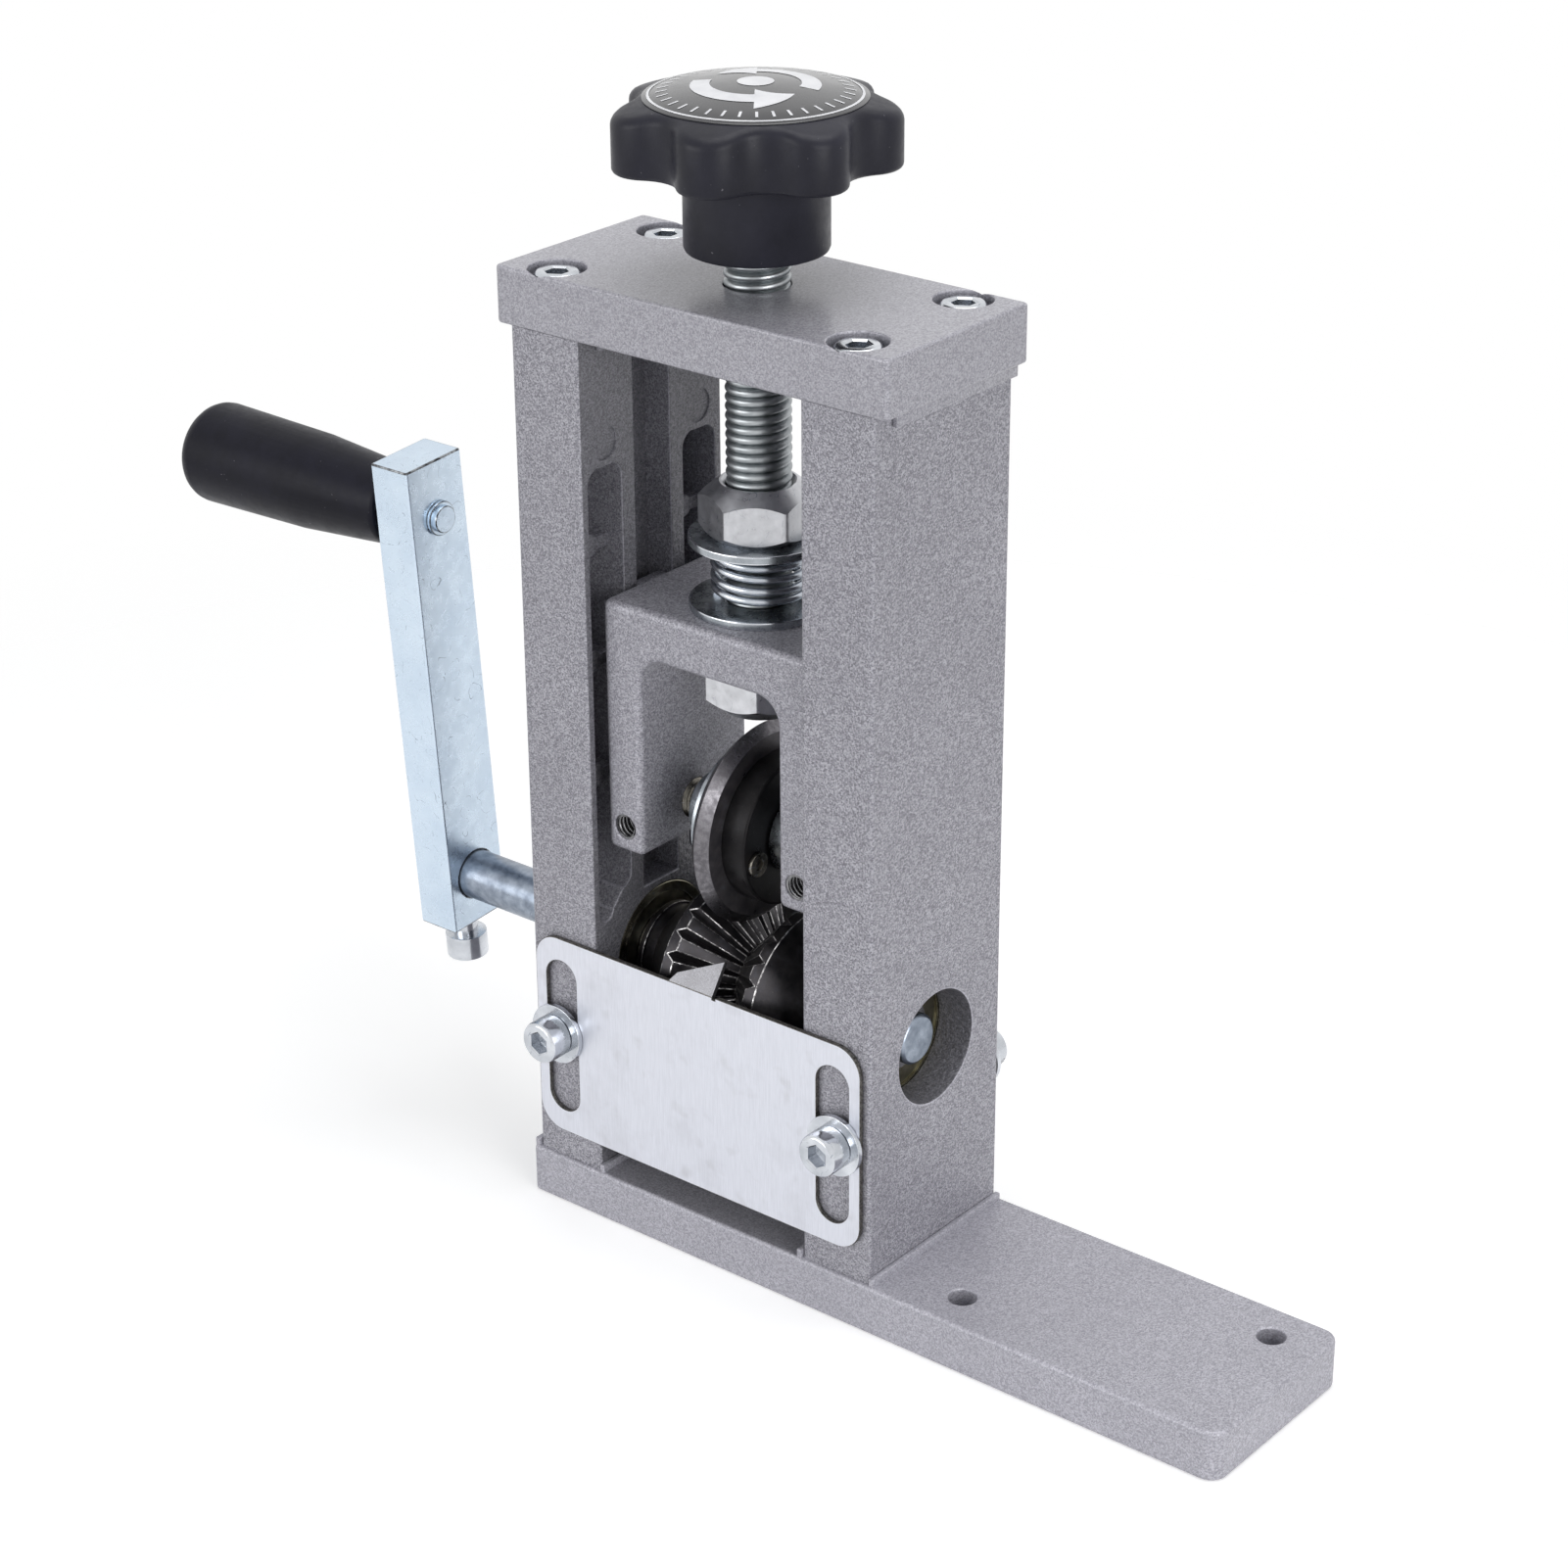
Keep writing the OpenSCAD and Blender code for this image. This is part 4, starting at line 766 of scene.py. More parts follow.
def add_hole(shape, x, y, r, low_z, high_z, flare, blind=False, turn=Matrix.Identity(4)):
    """What a drill with eased rims takes away. A blind one has its flat floor at low_z."""
    around = 40
    steps = 3
    if blind:
        rows = [[Vector((0, 0, low_z))], ring(r, low_z, around)]
    else:
        rows = [[Vector((0, 0, low_z - overrun))], ring(r + flare, low_z - overrun, around)]
        rows += [ring(r + flare*fall_share, low_z + flare*rise_share, around)
                 for fall_share, rise_share in rounding(steps)]
    rows += [ring(r + flare*rise_share, high_z - flare*fall_share, around)
             for fall_share, rise_share in rounding(steps)]
    rows += [ring(r + flare, high_z + overrun, around), [Vector((0, 0, high_z + overrun))]]
    add_rows(shape, [[turn @ (p + Vector((x, y, 0))) for p in row] for row in rows])


def cut(piece, cutter_shape):
    """Takes the cutters away from a piece."""
    cutter = skinned("cutter", cutter_shape)
    taken = piece.modifiers.new("holes", "BOOLEAN")
    taken.operation = "DIFFERENCE"
    taken.solver = "EXACT"
    taken.object = cutter
    baked(piece)
    bpy.data.objects.remove(cutter)
    piece.data.set_sharp_from_angle(angle=edge_angle)
    flattened(piece)


def add_block(shape, low, high):
    """A small block with eased edges."""
    made = bmesh.ops.create_cube(shape, size=1)
    for vert in made["verts"]:
        vert.co = Vector([(a + b)/2 + c*(b - a) for a, b, c in zip(low, high, vert.co)])
    edges = list({e for v in made["verts"] for e in v.link_edges})
    bmesh.ops.bevel(shape, geom=edges, offset=block_edge_r, segments=2, profile=0.5, affect="EDGES",
                    clamp_overlap=True)


def joined(name, *pieces):
    """One piece that holds the meshes of several with the same material."""
    shape = bmesh.new()
    for piece in pieces:
        shape.from_mesh(piece.data)
    mesh = bpy.data.meshes.new(name)
    shape.to_mesh(mesh)
    shape.free()
    made = new_piece(name, mesh, pieces[0].data.materials[0])
    for piece in pieces:
        bpy.data.objects.remove(piece)
    return made


def rib_blocks(name, front_y, low_z, high_z):
    """The four cast ribs that stand beside the columns' ends."""
    shape = bmesh.new()
    for x in (column_inner_x - rib_gap - rib_w, column_outer_x + rib_gap):
        for low_x in (x, -x - rib_w):
            add_block(shape, (low_x, front_y, low_z), (low_x + rib_w, column_d/2, high_z))
    return new_piece(name, mesh_from(shape, name), cast_paint)


def base_casting():
    outline = (base_left_x, base_right_x, base_d, plate_corner_r, base_corner_r)
    base = plate("base_slab", outline, 0, base_top_z, base_edge_r, plate_paint)
    holes = bmesh.new()
    for x, y in mount_holes:
        add_hole(holes, x, y, mount_hole_r, 0, base_top_z, hole_flare)
    for x, y in screw_places:
        add_hole(holes, x, y, screw_r + near_gap, 0, base_top_z, near_gap)
    wide = bmesh.new()
    for x, y in screw_places:
        add_hole(wide, x, y, counterbore_r, -overrun, screw_seat, 0)
    cut(base, holes)
    cut(base, wide)
    front_y = -base_d/2 + base_rib_inset
    ribs = rib_blocks("base_ribs", front_y, base_top_z - rib_sink, base_top_z + base_rib_h)
    return joined("base_plate_piece", base, ribs)


def top_casting():
    outline = (-top_half_l, top_half_l, top_d, plate_corner_r, plate_corner_r)
    top = plate("top_slab", outline, column_top_z, tower_top_z, top_edge_r, top_paint)
    holes = bmesh.new()
    add_hole(holes, 0, 0, rod_r + tight_gap, column_top_z, tower_top_z, fine_flare)
    for x, y in screw_places:
        add_hole(holes, x, y, counterbore_r, tower_top_z - screw_seat, tower_top_z, hole_flare, True)
    cut(top, holes)
    front_y = -column_d/2 + top_rib_inset
    ribs = rib_blocks("top_ribs", front_y, column_top_z - top_rib_h, column_top_z + rib_sink)
    return joined("top_plate_piece", top, ribs)


def yoke_outline(inset):
    """Points round the yoke as the front shows it, drawn in by an inset."""
    corner_r = yoke_corner_r - inset
    inner_r = yoke_inner_r + inset
    foot_z = yoke_foot_z + yoke_corner_r
    top_z = yoke_top_z - yoke_corner_r
    inner_z = yoke_bar_z - yoke_inner_r
    side_x = yoke_half_w - yoke_corner_r
    leg_x = yoke_gap_half + yoke_corner_r
    inner_x = yoke_gap_half - yoke_inner_r
    return arc_points(((-side_x, foot_z, corner_r, 2, 1), (-leg_x, foot_z, corner_r, 3, 1),
                       (-inner_x, inner_z, inner_r, 2, -1), (inner_x, inner_z, inner_r, 1, -1),
                       (leg_x, foot_z, corner_r, 2, 1), (side_x, foot_z, corner_r, 3, 1),
                       (side_x, top_z, corner_r, 0, 1), (-side_x, top_z, corner_r, 1, 1)))


def yoke_casting():
    rod_gap = 0.3*mm
    rod_flare = 0.4*mm
    to_front = Matrix.Rotation(quarter_turn, 4, "X")
    front = []
    for fall_share, rise_share in rounding(4):
        y = -yoke_d/2 + yoke_edge_r*rise_share
        front.append([Vector((x, y, z)) for x, z in yoke_outline(yoke_edge_r*fall_share)])
    back = [[Vector((p.x, -p.y, p.z)) for p in row] for row in reversed(front)]
    shape = bmesh.new()
    add_rows(shape, front + back)
    close_ends(shape, len(front[0]))
    yoke = skinned("yoke_casting", shape, yoke_paint)
    holes = bmesh.new()
    add_hole(holes, 0, 0, rod_r + rod_gap, yoke_bar_z, yoke_top_z, rod_flare)
    for side in (-1, 1):
        middle = Matrix.Translation((side*tapped_hole_x, 0, tapped_hole_z))
        add_hole(holes, 0, 0, tapped_hole_r, axle_r, yoke_d/2, fine_flare, True, middle @ to_front)
    axle = bmesh.new()
    place = Matrix.Translation((0, 0, blade_z)) @ Matrix.Rotation(quarter_turn, 4, "Y")
    add_hole(axle, 0, 0, axle_r + tight_gap, -yoke_half_w, yoke_half_w, fine_flare, False, place)
    cut(yoke, holes)
    cut(yoke, axle)
    tongues = bmesh.new()
    for side in (-1, 1):
        ends = sorted((side*(yoke_half_w - rib_sink), side*(yoke_half_w + tongue_reach)))
        add_block(tongues, (ends[0], -tongue_w/2, yoke_foot_z + yoke_corner_r),
                  (ends[1], tongue_w/2, yoke_top_z - yoke_corner_r))
    blocks = new_piece("yoke_tongues", mesh_from(tongues, "yoke_tongues"), cast_paint)
    return joined("yoke_piece", yoke, blocks)


for node, side in (("left_column", -1), ("right_column", 1)):
    column = copy_of(node, cast_paint, rough_paint_painted_shade, edge_paint, eased=column_edge)
    # The third material, the lighter edge paint, goes on the rounded edges as a painted highlight.
    bevelled(column, column_edge_r, 2)
    # The faces inside the tower take the darker rough paint: rough skin with painted shade.
    rough_shaded_inner_faces(column, side)
    settle(column, "paint", node)
settle(base_casting(), "paint", "base_plate")
settle(top_casting(), "paint", "top_plate")
settle(yoke_casting(), "paint", "yoke")


# Plain turned, sheared and plated pieces, each a copy with eased edges

blade_edge_r = 0.08*mm
roller_edge_r = 0.14*mm
sheet_edge_r = 0.12*mm
sheet_inner_y = 19.87*mm
for node, edge_r, finish, slot in (
    ("drive_shaft", 0.15*mm, shaft_zinc, "zinc"),
    ("shaft_spacers", 0.15*mm, zinc_plate, "zinc"),
    ("crank_clamp_screw", 0.2*mm, zinc_plate, "zinc"),
    ("grip", 0.5*mm, grip_rubber, "black_plastic"),
    ("blade_axle", 0.15*mm, dark_steel, "zinc"),
    ("left_axle_spacer", 0.15*mm, washer_zinc, "zinc"),
    ("right_axle_spacer", 0.3*mm, washer_zinc, "zinc"),
    ("blade_hub", 0.3*mm, washer_zinc, "zinc"),
    ("blade_boss", 0.15*mm, boss_black, "black_steel"),
    ("front_guide_washers", 0.2*mm, zinc_plate, "zinc"),
    ("rear_guide_washers", 0.2*mm, zinc_plate, "zinc"),
    ("left_bearing_outer_race", 0.3*mm, bearing_steel, "steel"),
    ("right_bearing_outer_race", 0.3*mm, bearing_steel, "steel"),
    ("left_bearing_inner_race", 0.25*mm, turned_steel, "steel"),
    ("right_bearing_inner_race", 0.25*mm, turned_steel, "steel"),
    ("left_bearing_shields", 0.1*mm, shield_steel, "steel"),
    ("right_bearing_shields", 0.1*mm, shield_steel, "steel"),
    ("roller_set_screws", 0.15*mm, black_steel, "black_steel"),
    ("axle_set_screws", 0.15*mm, black_steel, "black_steel"),
    ("blade_screws", 0.1*mm, dark_steel, "black_steel"),
):
    settle(bevelled(copy_of(node, finish), edge_r), slot, node)
for node, edge_r, finish, edge_finish, slot in (
    # The crank arm and grip pin take the painted reflection on their eased edges.
    ("crank_arm", 0.35*mm, arm_zinc, arm_edge, "zinc"),
    ("grip_pin", 0.2*mm, arm_zinc, arm_edge, "zinc"),
    ("lower_spring_washer", 0.3*mm, washer_zinc, zinc_plate, "zinc"),
    ("upper_spring_washer", 0.3*mm, washer_zinc, zinc_plate, "zinc"),
    ("left_feed_roller", roller_edge_r, black_steel, worn_edge, "black_steel"),
    ("right_feed_roller", roller_edge_r, black_steel, worn_edge, "black_steel"),
):
    settle(bevelled(copy_of(node, finish, edge_finish), edge_r, 1), slot, node)
for node in ("left_bearing_cage", "right_bearing_cage", "left_bearing_balls", "right_bearing_balls"):
    settle(copy_of(node, turned_steel), "steel", node)


def ground_blade():
    """The blade, whose sloping rim is ground bright."""
    blade = bevelled(copy_of("blade_wheel", blade_black, ground_steel), blade_edge_r)
    for face in blade.data.polygons:
        reach = math.hypot(face.center.y, face.center.z - blade_z)
        if reach > blade_flat_r and abs(face.normal.x) < 0.95:
            face.material_index = 1
    return blade


def guide_plate(node):
    """A sheet with dark cut edges, whose bent tab is painted darker than its face as painted shade."""
    sheet = bevelled(copy_of(node, brushed_steel, cut_edge, tab_steel), sheet_edge_r, 1)
    for face in sheet.data.polygons:
        # The tab's faces take the darker painted-shade copy.
        if abs(face.center.y) < sheet_inner_y - near_gap:
            face.material_index = 2
        elif abs(face.normal.y) < 0.5:
            face.material_index = 1
    return sheet


settle(ground_blade(), "black_steel", "blade_wheel")
for node in ("front_guide_plate", "rear_guide_plate"):
    settle(guide_plate(node), "steel", node)


# Nuts on the rod

def hex_nut(node, turn_deg, low_face_r, high_face_r):
    """A hexagon nut whose corners are turned off by a cone at each end, down to a flat face."""
    low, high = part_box(node)
    around = 192
    slope_share = 0.8
    corner_cut = 0.08*mm
    sink_w = 0.8*mm
    sink_h = 0.7*mm
    corner_r = nut_af/2/math.cos(full_turn/12) - corner_cut
    bore_r = rod_r + tight_gap
    sides = [(min(Vector((p.x, p.y)).length, corner_r), q)
             for p, q in zip(ring(0, 0, around, 0, nut_af), ring(1, 0, around))]
    shape = bmesh.new()
    add_rows(shape, [
        ring(bore_r, low.z + sink_h, around),
        ring(rod_r + sink_w, low.z, around),
        ring(low_face_r, low.z, around),
        [Vector((0, 0, low.z + (r - low_face_r)*slope_share)) + q.normalized()*r for r, q in sides],
        [Vector((0, 0, high.z - (r - high_face_r)*slope_share)) + q.normalized()*r for r, q in sides],
        ring(high_face_r, high.z, around),
        ring(rod_r + sink_w, high.z, around),
        ring(bore_r, high.z - sink_h, around),
        ring(bore_r, low.z + sink_h, around),
    ])
    bmesh.ops.remove_doubles(shape, verts=shape.verts, dist=weld_gap)
    bmesh.ops.rotate(shape, verts=shape.verts, matrix=Matrix.Rotation(math.radians(turn_deg), 3, "Z"))
    nut = skinned(node + "_piece", shape, dull_zinc)
    nut.data.set_sharp_from_angle(angle=nut_edge_angle)
    return nut


nut_edge_angle = math.radians(20)
wide_face_r = 8.9*mm
small_face_r = 7.2*mm
settle(hex_nut("upper_nut", 5, wide_face_r, small_face_r), "zinc", "upper_nut")
settle(hex_nut("lower_nut", 35, small_face_r, wide_face_r), "zinc", "lower_nut")


# Socket screws and the threaded rod

def screw_shape(name, thread_l):
    """A socket head screw with a knurled head that ends at zero and a thread that points down."""
    knurls = 72
    knurl_depth = 0.14*mm
    head_edge = 0.45*mm
    socket_edge = 0.3*mm
    thread_depth = 0.4*mm
    top = screw_head_r - head_edge
    shape = bmesh.new()
    add_rows(shape, [
        [Vector((0, 0, -screw_head_h))],
        ring(top, -screw_head_h, knurls),
        ring(screw_head_r - head_edge/3, -screw_head_h + head_edge/3, knurls),
        ring(screw_head_r, -screw_head_h + head_edge, knurls, knurl_depth),
        ring(screw_head_r, -head_edge*2, knurls, knurl_depth),
        ring(screw_head_r - head_edge/3, -head_edge, knurls),
        ring(top, -head_edge/4, knurls),
        ring(top - head_edge/2, 0, knurls),
        ring(0, 0, knurls, 0, socket_af + 2*socket_edge),
        ring(0, -socket_edge, knurls, 0, socket_af),
        ring(0, -socket_depth, knurls, 0, socket_af),
        [Vector((0, 0, -socket_depth - socket_edge))],
    ])
    helical_thread(shape, screw_r, screw_r - thread_depth, screw_pitch, -screw_head_h - thread_l,
                   -screw_head_h + near_gap, 24)
    return skinned(name, shape)


def screws(node, turn, axis, end_is_high):
    """All screws of a CAD node, placed by its box, with their heads at the given end of an axis."""
    low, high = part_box(node)
    middle = (low + high)/2
    near_x, far_x = low.x + screw_head_r, high.x - screw_head_r
    end = high[axis] if end_is_high else low[axis]
    if axis == 2:
        near_y, far_y = low.y + screw_head_r, high.y - screw_head_r
        places = [(x, y, end) for x in (near_x, far_x) for y in (near_y, far_y)]
    else:
        places = [(x, end, middle.z) for x in (near_x, far_x)]
    shape = screw_shape(node + "_shape", high[axis] - low[axis] - screw_head_h)
    return copies_at(node + "_piece", shape, places, turn, zinc_plate)


def threaded_rod():
    around = 48
    thread_depth = 0.95*mm
    core_r = rod_r - 1*mm
    shape = bmesh.new()
    helical_thread(shape, rod_r, rod_r - thread_depth, rod_pitch, rod_low_z, rod_high_z, around)
    add_rows(shape, [[Vector((0, 0, rod_low_z))], ring(core_r, rod_low_z, around),
                     ring(core_r, rod_high_z, around), [Vector((0, 0, rod_high_z))]])
    return skinned("adjusting_screw_piece", shape, rod_steel)


for node, turn, axis, end_is_high in (
    ("top_plate_screws", (0, 0, 0), 2, True),
    ("base_screws", (half_turn, 0, 0), 2, False),
    ("front_guide_screws", (quarter_turn, 0, 0), 1, False),
    ("rear_guide_screws", (-quarter_turn, 0, 0), 1, True),
):
    settle(screws(node, turn, axis, end_is_high), "zinc", node)
settle(threaded_rod(), "zinc", "adjusting_screw")


# Spring

spring_wire_r = 0.75*mm
spring_coil_r = 8.25*mm
spring_low_turns = 2.4
spring_open_turns = 0.4
spring_high_turns = 1.75
spring_turns = spring_low_turns + spring_open_turns + spring_high_turns
spring_start = 0.56*full_turn
spring_pitch = 1.95*mm
spring_rest_h = spring_high_z - spring_low_z
spring_climb = spring_rest_h - 2*spring_wire_r - 2*tight_gap


def make_spring_tree():
    """Wire wound on a helix whose pitch follows a curve, with both ends ground flat."""
    tree, given, names = new_tree("wound_spring", Turns="Float", Coil_radius="Float", Wire_radius="Float",
                                  Low_end="Float", High_end="Float", Surface="Material")
    coil = add_node(tree, "GeometryNodeCurveSpiral", Resolution=64, Rotations=given["Turns"], Height=0,
                    Start_Radius=given["Coil radius"], End_Radius=given["Coil radius"])
    along = add_node(tree, "GeometryNodeSplineParameter").outputs["Factor"]
    rise = add_node(tree, "ShaderNodeFloatCurve", Value=along)
    curve = rise.mapping.curves[0]
    curve.points[0].location = (0, 0)
    curve.points[1].location = (1, 1)
    curve.points.new(spring_low_turns/spring_turns, spring_low_turns*spring_pitch/spring_climb)
    curve.points.new(1 - spring_high_turns/spring_turns, 1 - spring_high_turns*spring_pitch/spring_climb)
    for point in curve.points:
        point.handle_type = "VECTOR"
    rise.mapping.update()
    low_middle = maths(tree, "ADD", given["Low end"], given["Wire radius"])
    high_middle = maths(tree, "SUBTRACT", given["High end"], given["Wire radius"])
    middle = add_node(tree, "ShaderNodeMapRange", Value=rise.outputs[0], To_Min=low_middle,
                      To_Max=high_middle)
    lift = add_node(tree, "ShaderNodeCombineXYZ", Z=middle.outputs[0]).outputs[0]
    helix = add_node(tree, "GeometryNodeSetPosition", coil.outputs[0], Offset=lift).outputs[0]
    section = add_node(tree, "GeometryNodeCurvePrimitiveCircle", Resolution=20, Radius=given["Wire radius"])
    wire = add_node(tree, "GeometryNodeCurveToMesh", Curve=helix, Profile_Curve=section.outputs[0],
                    Fill_Caps=True)
    place = add_node(tree, "GeometryNodeInputPosition").outputs[0]
    x, y, z = add_node(tree, "ShaderNodeSeparateXYZ", place).outputs
    ground_z = add_node(tree, "ShaderNodeClamp", z, given["Low end"], given["High end"]).outputs[0]
    ground = add_node(tree, "ShaderNodeCombineXYZ", x, y, ground_z).outputs[0]
    ends = add_node(tree, "GeometryNodeSetPosition", wire.outputs[0], Position=ground).outputs[0]
    smooth = add_node(tree, "GeometryNodeSetShadeSmooth", ends).outputs[0]
    end_tree(tree, smooth, given["Surface"])
    return tree, names


spring = nodes_piece("adjusting_spring_piece", make_spring_tree(), Turns=spring_turns,
                     Coil_radius=spring_coil_r, Wire_radius=spring_wire_r, Surface=spring_steel,
                     Low_end=spring_low_z + tight_gap, High_end=spring_high_z - tight_gap)
spring.data.transform(Matrix.Rotation(spring_start, 4, "Z"))
settle(spring, "zinc", "adjusting_spring")
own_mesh(spring)


# Knob

dome_sphere_r = (knob_r*knob_r + knob_dome_h*knob_dome_h)/(2*knob_dome_h)
knob_top_z = knob_lobe_z + knob_lobe_h + knob_dome_h


def dome_z(r):
    return knob_top_z - dome_sphere_r + math.sqrt(dome_sphere_r**2 - r*r)


def star_points(inset):
    """The knob's outline, drawn in by an inset, as places in the plane."""
    lobe_steps = 14
    valley_steps = 8
    half = half_turn/knob_lobes
    lobe = Vector((knob_r - knob_lobe_r, 0))
    middle = Vector((lobe.x*math.cos(half), lobe.x*math.sin(half)))
    fall = knob_valley_r - middle.x
    valley_r = (fall*fall + middle.y*middle.y - knob_lobe_r**2)/(2*(knob_lobe_r - fall))
    valley = (knob_valley_r + valley_r)*Vector((math.cos(half), math.sin(half)))
    away = valley - lobe
    start = math.atan2(away.y, away.x)
    points = []
    for n in range(knob_lobes):
        turn = Matrix.Rotation(2*n*half + knob_turn, 2)
        for i in range(lobe_steps):
            a = -start + 2*start*i/lobe_steps
            points.append(turn @ (lobe + Vector((math.cos(a), math.sin(a)))*(knob_lobe_r - inset)))
        for i in range(valley_steps):
            a = start + half_turn + (2*half - 2*start)*i/valley_steps
            points.append(turn @ (valley + Vector((math.cos(a), math.sin(a)))*(valley_r + inset)))
    return points


def knob_shape():
    """The lobed knob with its hub, bored for the rod from below."""
    outline = star_points(0)
    bore_r = rod_r + near_gap
    hub_edge = 0.8*mm
    low_edge = 1*mm
    top_edge = 1.6*mm
    edge_steps = 4

    def circle(r, z):
        return [Vector((*(p.normalized()*r), z)) for p in outline]

    rows = [
        [Vector((0, 0, rod_high_z + hub_edge))],
        circle(bore_r, rod_high_z + hub_edge),
        circle(bore_r, knob_low_z + hub_edge/2),
        circle(bore_r + hub_edge/2, knob_low_z),
        circle(knob_hub_r - hub_edge, knob_low_z),
        circle(knob_hub_r - hub_edge*0.3, knob_low_z + hub_edge*0.3),
        circle(knob_hub_r, knob_low_z + hub_edge),
        circle(knob_hub_r, knob_lobe_z - hub_edge),
        circle(knob_hub_r + hub_edge*0.3, knob_lobe_z - hub_edge*0.3),
        circle(knob_hub_r + hub_edge, knob_lobe_z),
    ]
    for fall_share, rise_share in rounding(edge_steps):
        z = knob_lobe_z + low_edge*rise_share
        rows.append([Vector((*p, z)) for p in star_points(low_edge*fall_share)])
    for fall_share, rise_share in rounding(edge_steps):
        points = star_points(top_edge*rise_share)
        rows.append([Vector((*p, dome_z(p.length) - top_edge*fall_share)) for p in points])
    for share in (0.93, 0.85, 0.7, 0.5, 0.3, 0.12):
        rows.append([Vector((*(p*share), dome_z(p.length*share))) for p in star_points(top_edge)])
    rows.append([Vector((0, 0, knob_top_z))])
    shape = bmesh.new()
    add_rows(shape, rows)
    return shape


settle(skinned("knob_piece", knob_shape(), knob_plastic), "black_plastic", "knob")


# Label with plain ticks and two turning arrows

print_lift = 0.04*mm
print_ring_r = 18.75*mm
print_ring_w = 0.45*mm
arrow_r = 9.6*mm
arrow_w = 3.4*mm
dot_r = 3.2*mm
dot_hole_r = 0.01*mm
tick_r = 17.2*mm
tick_l = 2*mm
tick_w = 0.48*mm
tick_count = 36


def label_z(r, lift):
    """The height of the label's upper face at a radius, and a lift above it."""
    reach = dome_sphere_r + label_t
    return knob_top_z - dome_sphere_r + math.sqrt(reach*reach - r*r) + lift


def label_disc():
    around = 96
    shares = [0.25, 0.5, 0.75, 0.99]
    rows = [[Vector((0, 0, label_z(0, -label_t)))]]
    rows += [ring(label_r*share, label_z(label_r*share, -label_t), around) for share in shares]
    rows.append(ring(label_r, label_z(label_r, -label_t*0.6), around))
    rows.append(ring(label_r, label_z(label_r, -label_t*0.3), around))
    rows += [ring(label_r*share, label_z(label_r*share, 0), around) for share in reversed(shares)]
    rows.append([Vector((0, 0, label_z(0, 0)))])
    shape = bmesh.new()
    add_rows(shape, rows)
    return skinned("knob_label_piece", shape, label_film)


def add_print(shape, rows):
    """A printed patch that follows the label's dome, from rows of turns and radii."""
    made = [[shape.verts.new((r*math.cos(a), r*math.sin(a), label_z(r, print_lift))) for a, r in row]
            for row in rows]
    for here, there in zip(made, made[1:]):
        for corners in zip(here, here[1:], there[1:], there):
            shape.faces.new(corners)


def add_band(shape, r_in, r_out, start, end, steps):
    """A printed band between two angles."""
    turns = [start + (end - start)*i/steps for i in range(steps + 1)]
    add_print(shape, [[(a, r_in), (a, r_out)] for a in turns])


def add_arrow(shape, start, end):
    """A curved printed arrow with its head at the end angle."""
    head_reach = 1.3*arrow_w
    head_turn = 2.2*arrow_w/arrow_r
    steps = 8
    add_band(shape, arrow_r - arrow_w/2, arrow_r + arrow_w/2, start, end, 20)
    rows = []
    for i in range(steps + 1):
        reach = head_reach*(1 - 0.99*i/steps)
        rows.append([(end + head_turn*i/steps, arrow_r + reach*(2*j/steps - 1)) for j in range(steps + 1)])
    add_print(shape, rows)


def label_marks():
    shape = bmesh.new()
    add_band(shape, print_ring_r - print_ring_w, print_ring_r, 0, full_turn, 96)
    add_arrow(shape, math.radians(20), math.radians(128))
    add_arrow(shape, math.radians(200), math.radians(308))
    add_band(shape, dot_hole_r, dot_r, 0, full_turn, 48)
    bmesh.ops.remove_doubles(shape, verts=shape.verts, dist=weld_gap)
    bmesh.ops.recalc_face_normals(shape, faces=shape.faces)
    for face in shape.faces:
        if face.normal.z < 0:
            face.normal_flip()
    return new_piece("label_marks_piece", mesh_from(shape, "label_marks_piece"), label_print)


def label_ticks():
    shape = bmesh.new()
    inner_r = tick_r - tick_l
    corners = ((inner_r, -tick_w/2), (tick_r, -tick_w/2), (tick_r, tick_w/2), (inner_r, tick_w/2))
    shape.faces.new([shape.verts.new((x, y, label_z(x, print_lift))) for x, y in corners])
    tick = new_piece("tick", mesh_from(shape, "tick"))
    ticks = nodes_piece("label_ticks_piece", make_ring_tree(), Shape=tick, Count=tick_count,
                        Centre=(0, 0, 0), Axis=(0, 0, 1), First_turn=0, Surface=label_print)
    bpy.data.objects.remove(tick)
    return ticks


settle(label_disc(), "label", "knob_label")
for piece in (label_marks(), label_ticks()):
    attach(piece, "screw")


# Threads of the tapped holes in the yoke's legs

def tapped_threads():
    crest_r = tapped_hole_r - 0.5*mm
    root_r = tapped_hole_r + 0.02*mm
    depth = 6*mm
    shape = bmesh.new()
    helical_thread(shape, crest_r, root_r, tapped_pitch, 0, depth, 24, True)
    lining = new_piece("lining", mesh_from(shape, "lining"))
    places = [(side*tapped_hole_x, -yoke_d/2 + fine_flare, tapped_hole_z) for side in (-1, 1)]
    return copies_at("tapped_threads_piece", lining, places, (-quarter_turn, 0, 0), thread_steel)


linings = tapped_threads()
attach(linings, "carriage")


# Floor, lights, background and camera

def seen_directly(tree, *rays):
    """One where a ray comes from the camera or from gloss, or is of another kind that is named."""
    path = add_node(tree, "ShaderNodeLightPath").outputs
    seen = maths(tree, "MAXIMUM", path["Is Camera Ray"], path["Is Glossy Ray"])
    for ray in rays:
        seen = maths(tree, "MAXIMUM", seen, path[ray])
    return seen


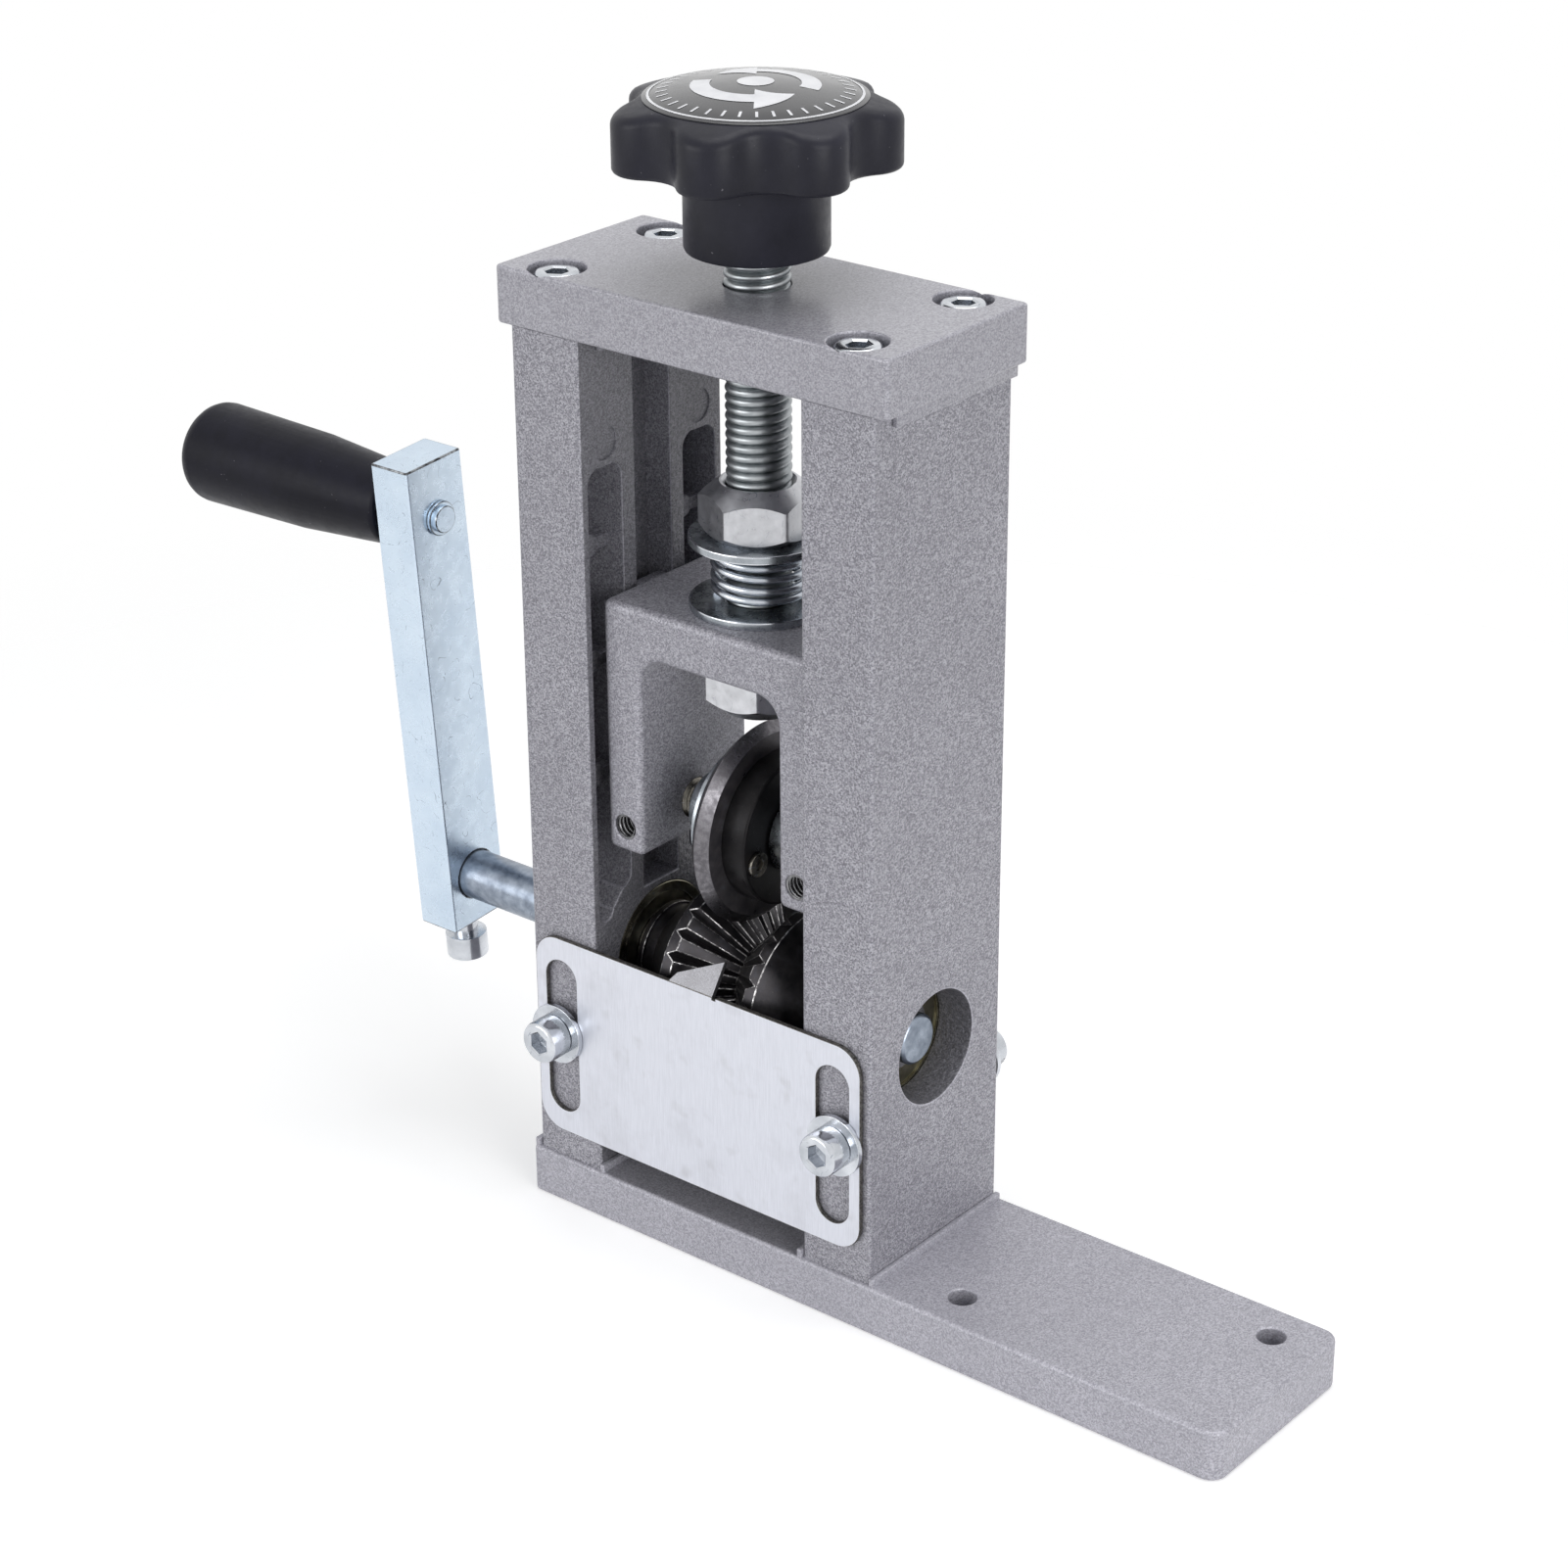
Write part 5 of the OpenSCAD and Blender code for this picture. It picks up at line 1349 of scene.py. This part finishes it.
def floor_material():
    """A pale floor that fades out round the object, a little brighter to the camera than to the object."""
    glow_share = 0.4
    fade_start = 200*mm
    fade_end = 420*mm
    material = bpy.data.materials.new("floor_white")
    material.use_nodes = True
    tree = material.node_tree
    shader = tree.nodes["Principled BSDF"]
    shader.inputs["Base Color"].default_value = (0.8, 0.8, 0.8, 1)
    shader.inputs["Roughness"].default_value = 0.9
    shader.inputs["Specular IOR Level"].default_value = 0
    strength = maths(tree, "MULTIPLY", seen_directly(tree), glow_share)
    glow = add_node(tree, "ShaderNodeEmission", Strength=strength)
    both = add_node(tree, "ShaderNodeAddShader", shader.outputs[0], glow.outputs[0])
    place = add_node(tree, "ShaderNodeTexCoord").outputs["Object"]
    reach = add_node(tree, "ShaderNodeVectorMath", place, settings={"operation": "LENGTH"}).outputs["Value"]
    fade = add_node(tree, "ShaderNodeMapRange", reach, fade_start, fade_end).outputs[0]
    clear = add_node(tree, "ShaderNodeBsdfTransparent").outputs[0]
    faded = add_node(tree, "ShaderNodeMixShader", fade, both.outputs[0], clear)
    feed(tree, tree.nodes["Material Output"].inputs["Surface"], faded.outputs[0])
    return material


def make_floor():
    half = 3000*mm
    shape = bmesh.new()
    bmesh.ops.create_grid(shape, x_segments=1, y_segments=1, size=half)
    floor = new_piece("floor", mesh_from(shape, "floor"), floor_material())


def make_background():
    """White to the camera, and a weaker even light on the object."""
    world = bpy.data.worlds.new("studio")
    bpy.context.scene.world = world
    world.use_nodes = True
    tree = world.node_tree
    plain = tree.nodes["Background"]
    plain.inputs["Color"].default_value = (0.97, 0.98, 1.0, 1)
    plain.inputs["Strength"].default_value = 0.24
    white = add_node(tree, "ShaderNodeBackground", Color=(1, 1, 1, 1), Strength=1)
    seen = seen_directly(tree, "Is Transmission Ray")
    mixed = add_node(tree, "ShaderNodeMixShader", seen, plain.outputs[0], white.outputs[0])
    feed(tree, tree.nodes["World Output"].inputs["Surface"], mixed.outputs[0])


def soft_light(name, place, aim, size, watts):
    light = bpy.data.lights.new(name, "AREA")
    light.shape = "RECTANGLE"
    light.size, light.size_y = size
    light.energy = watts
    lamp = bpy.data.objects.new(name, light)
    lamp.location = place
    lamp.rotation_euler = (Vector(place) - Vector(aim)).to_track_quat("Z", "Y").to_euler()
    bpy.context.scene.collection.objects.link(lamp)


def make_camera():
    """The camera that the photograph's straight edges gave."""
    azimuth = math.radians(39.144)
    rise = math.radians(24.930)
    roll = math.radians(-0.354)
    distance = 682.216*mm
    shift_right = 4.107*mm
    shift_up = -1.380*mm
    aim_z = 95*mm
    frame_pixels = 1601
    focal_pixels = 3755.352
    sensor = 36
    back = Vector((math.sin(azimuth)*math.cos(rise), -math.cos(azimuth)*math.cos(rise), math.sin(rise)))
    level = Vector((math.cos(azimuth), math.sin(azimuth), 0))
    upright = back.cross(level)
    right = level*math.cos(roll) + upright*math.sin(roll)
    up = upright*math.cos(roll) - level*math.sin(roll)
    place = Vector((0, 0, aim_z)) + right*shift_right + up*shift_up + back*distance
    data = bpy.data.cameras.new("camera")
    data.sensor_width = sensor
    data.lens = focal_pixels/frame_pixels*sensor
    data.clip_start = 10*mm
    data.clip_end = 20000*mm
    camera = bpy.data.objects.new("camera", data)
    turned = Matrix((right, up, back)).transposed().to_4x4()
    camera.matrix_world = Matrix.Translation(place) @ turned
    bpy.context.scene.collection.objects.link(camera)
    bpy.context.scene.camera = camera


make_floor()
make_background()
soft_light("key_light", place=(-0.4, -1.05, 0.4), aim=(0, 0, 0.08), size=(0.9, 0.6), watts=5.2)
soft_light("top_light", place=(0.1, 0.1, 1.1), aim=(0, 0, 0.1), size=(0.8, 0.8), watts=6.4)
soft_light("side_light", place=(1.05, -0.35, 0.34), aim=(0, 0, 0.04), size=(0.6, 0.6), watts=6.0)
make_camera()
bpy.context.scene.view_settings.view_transform = "Standard"
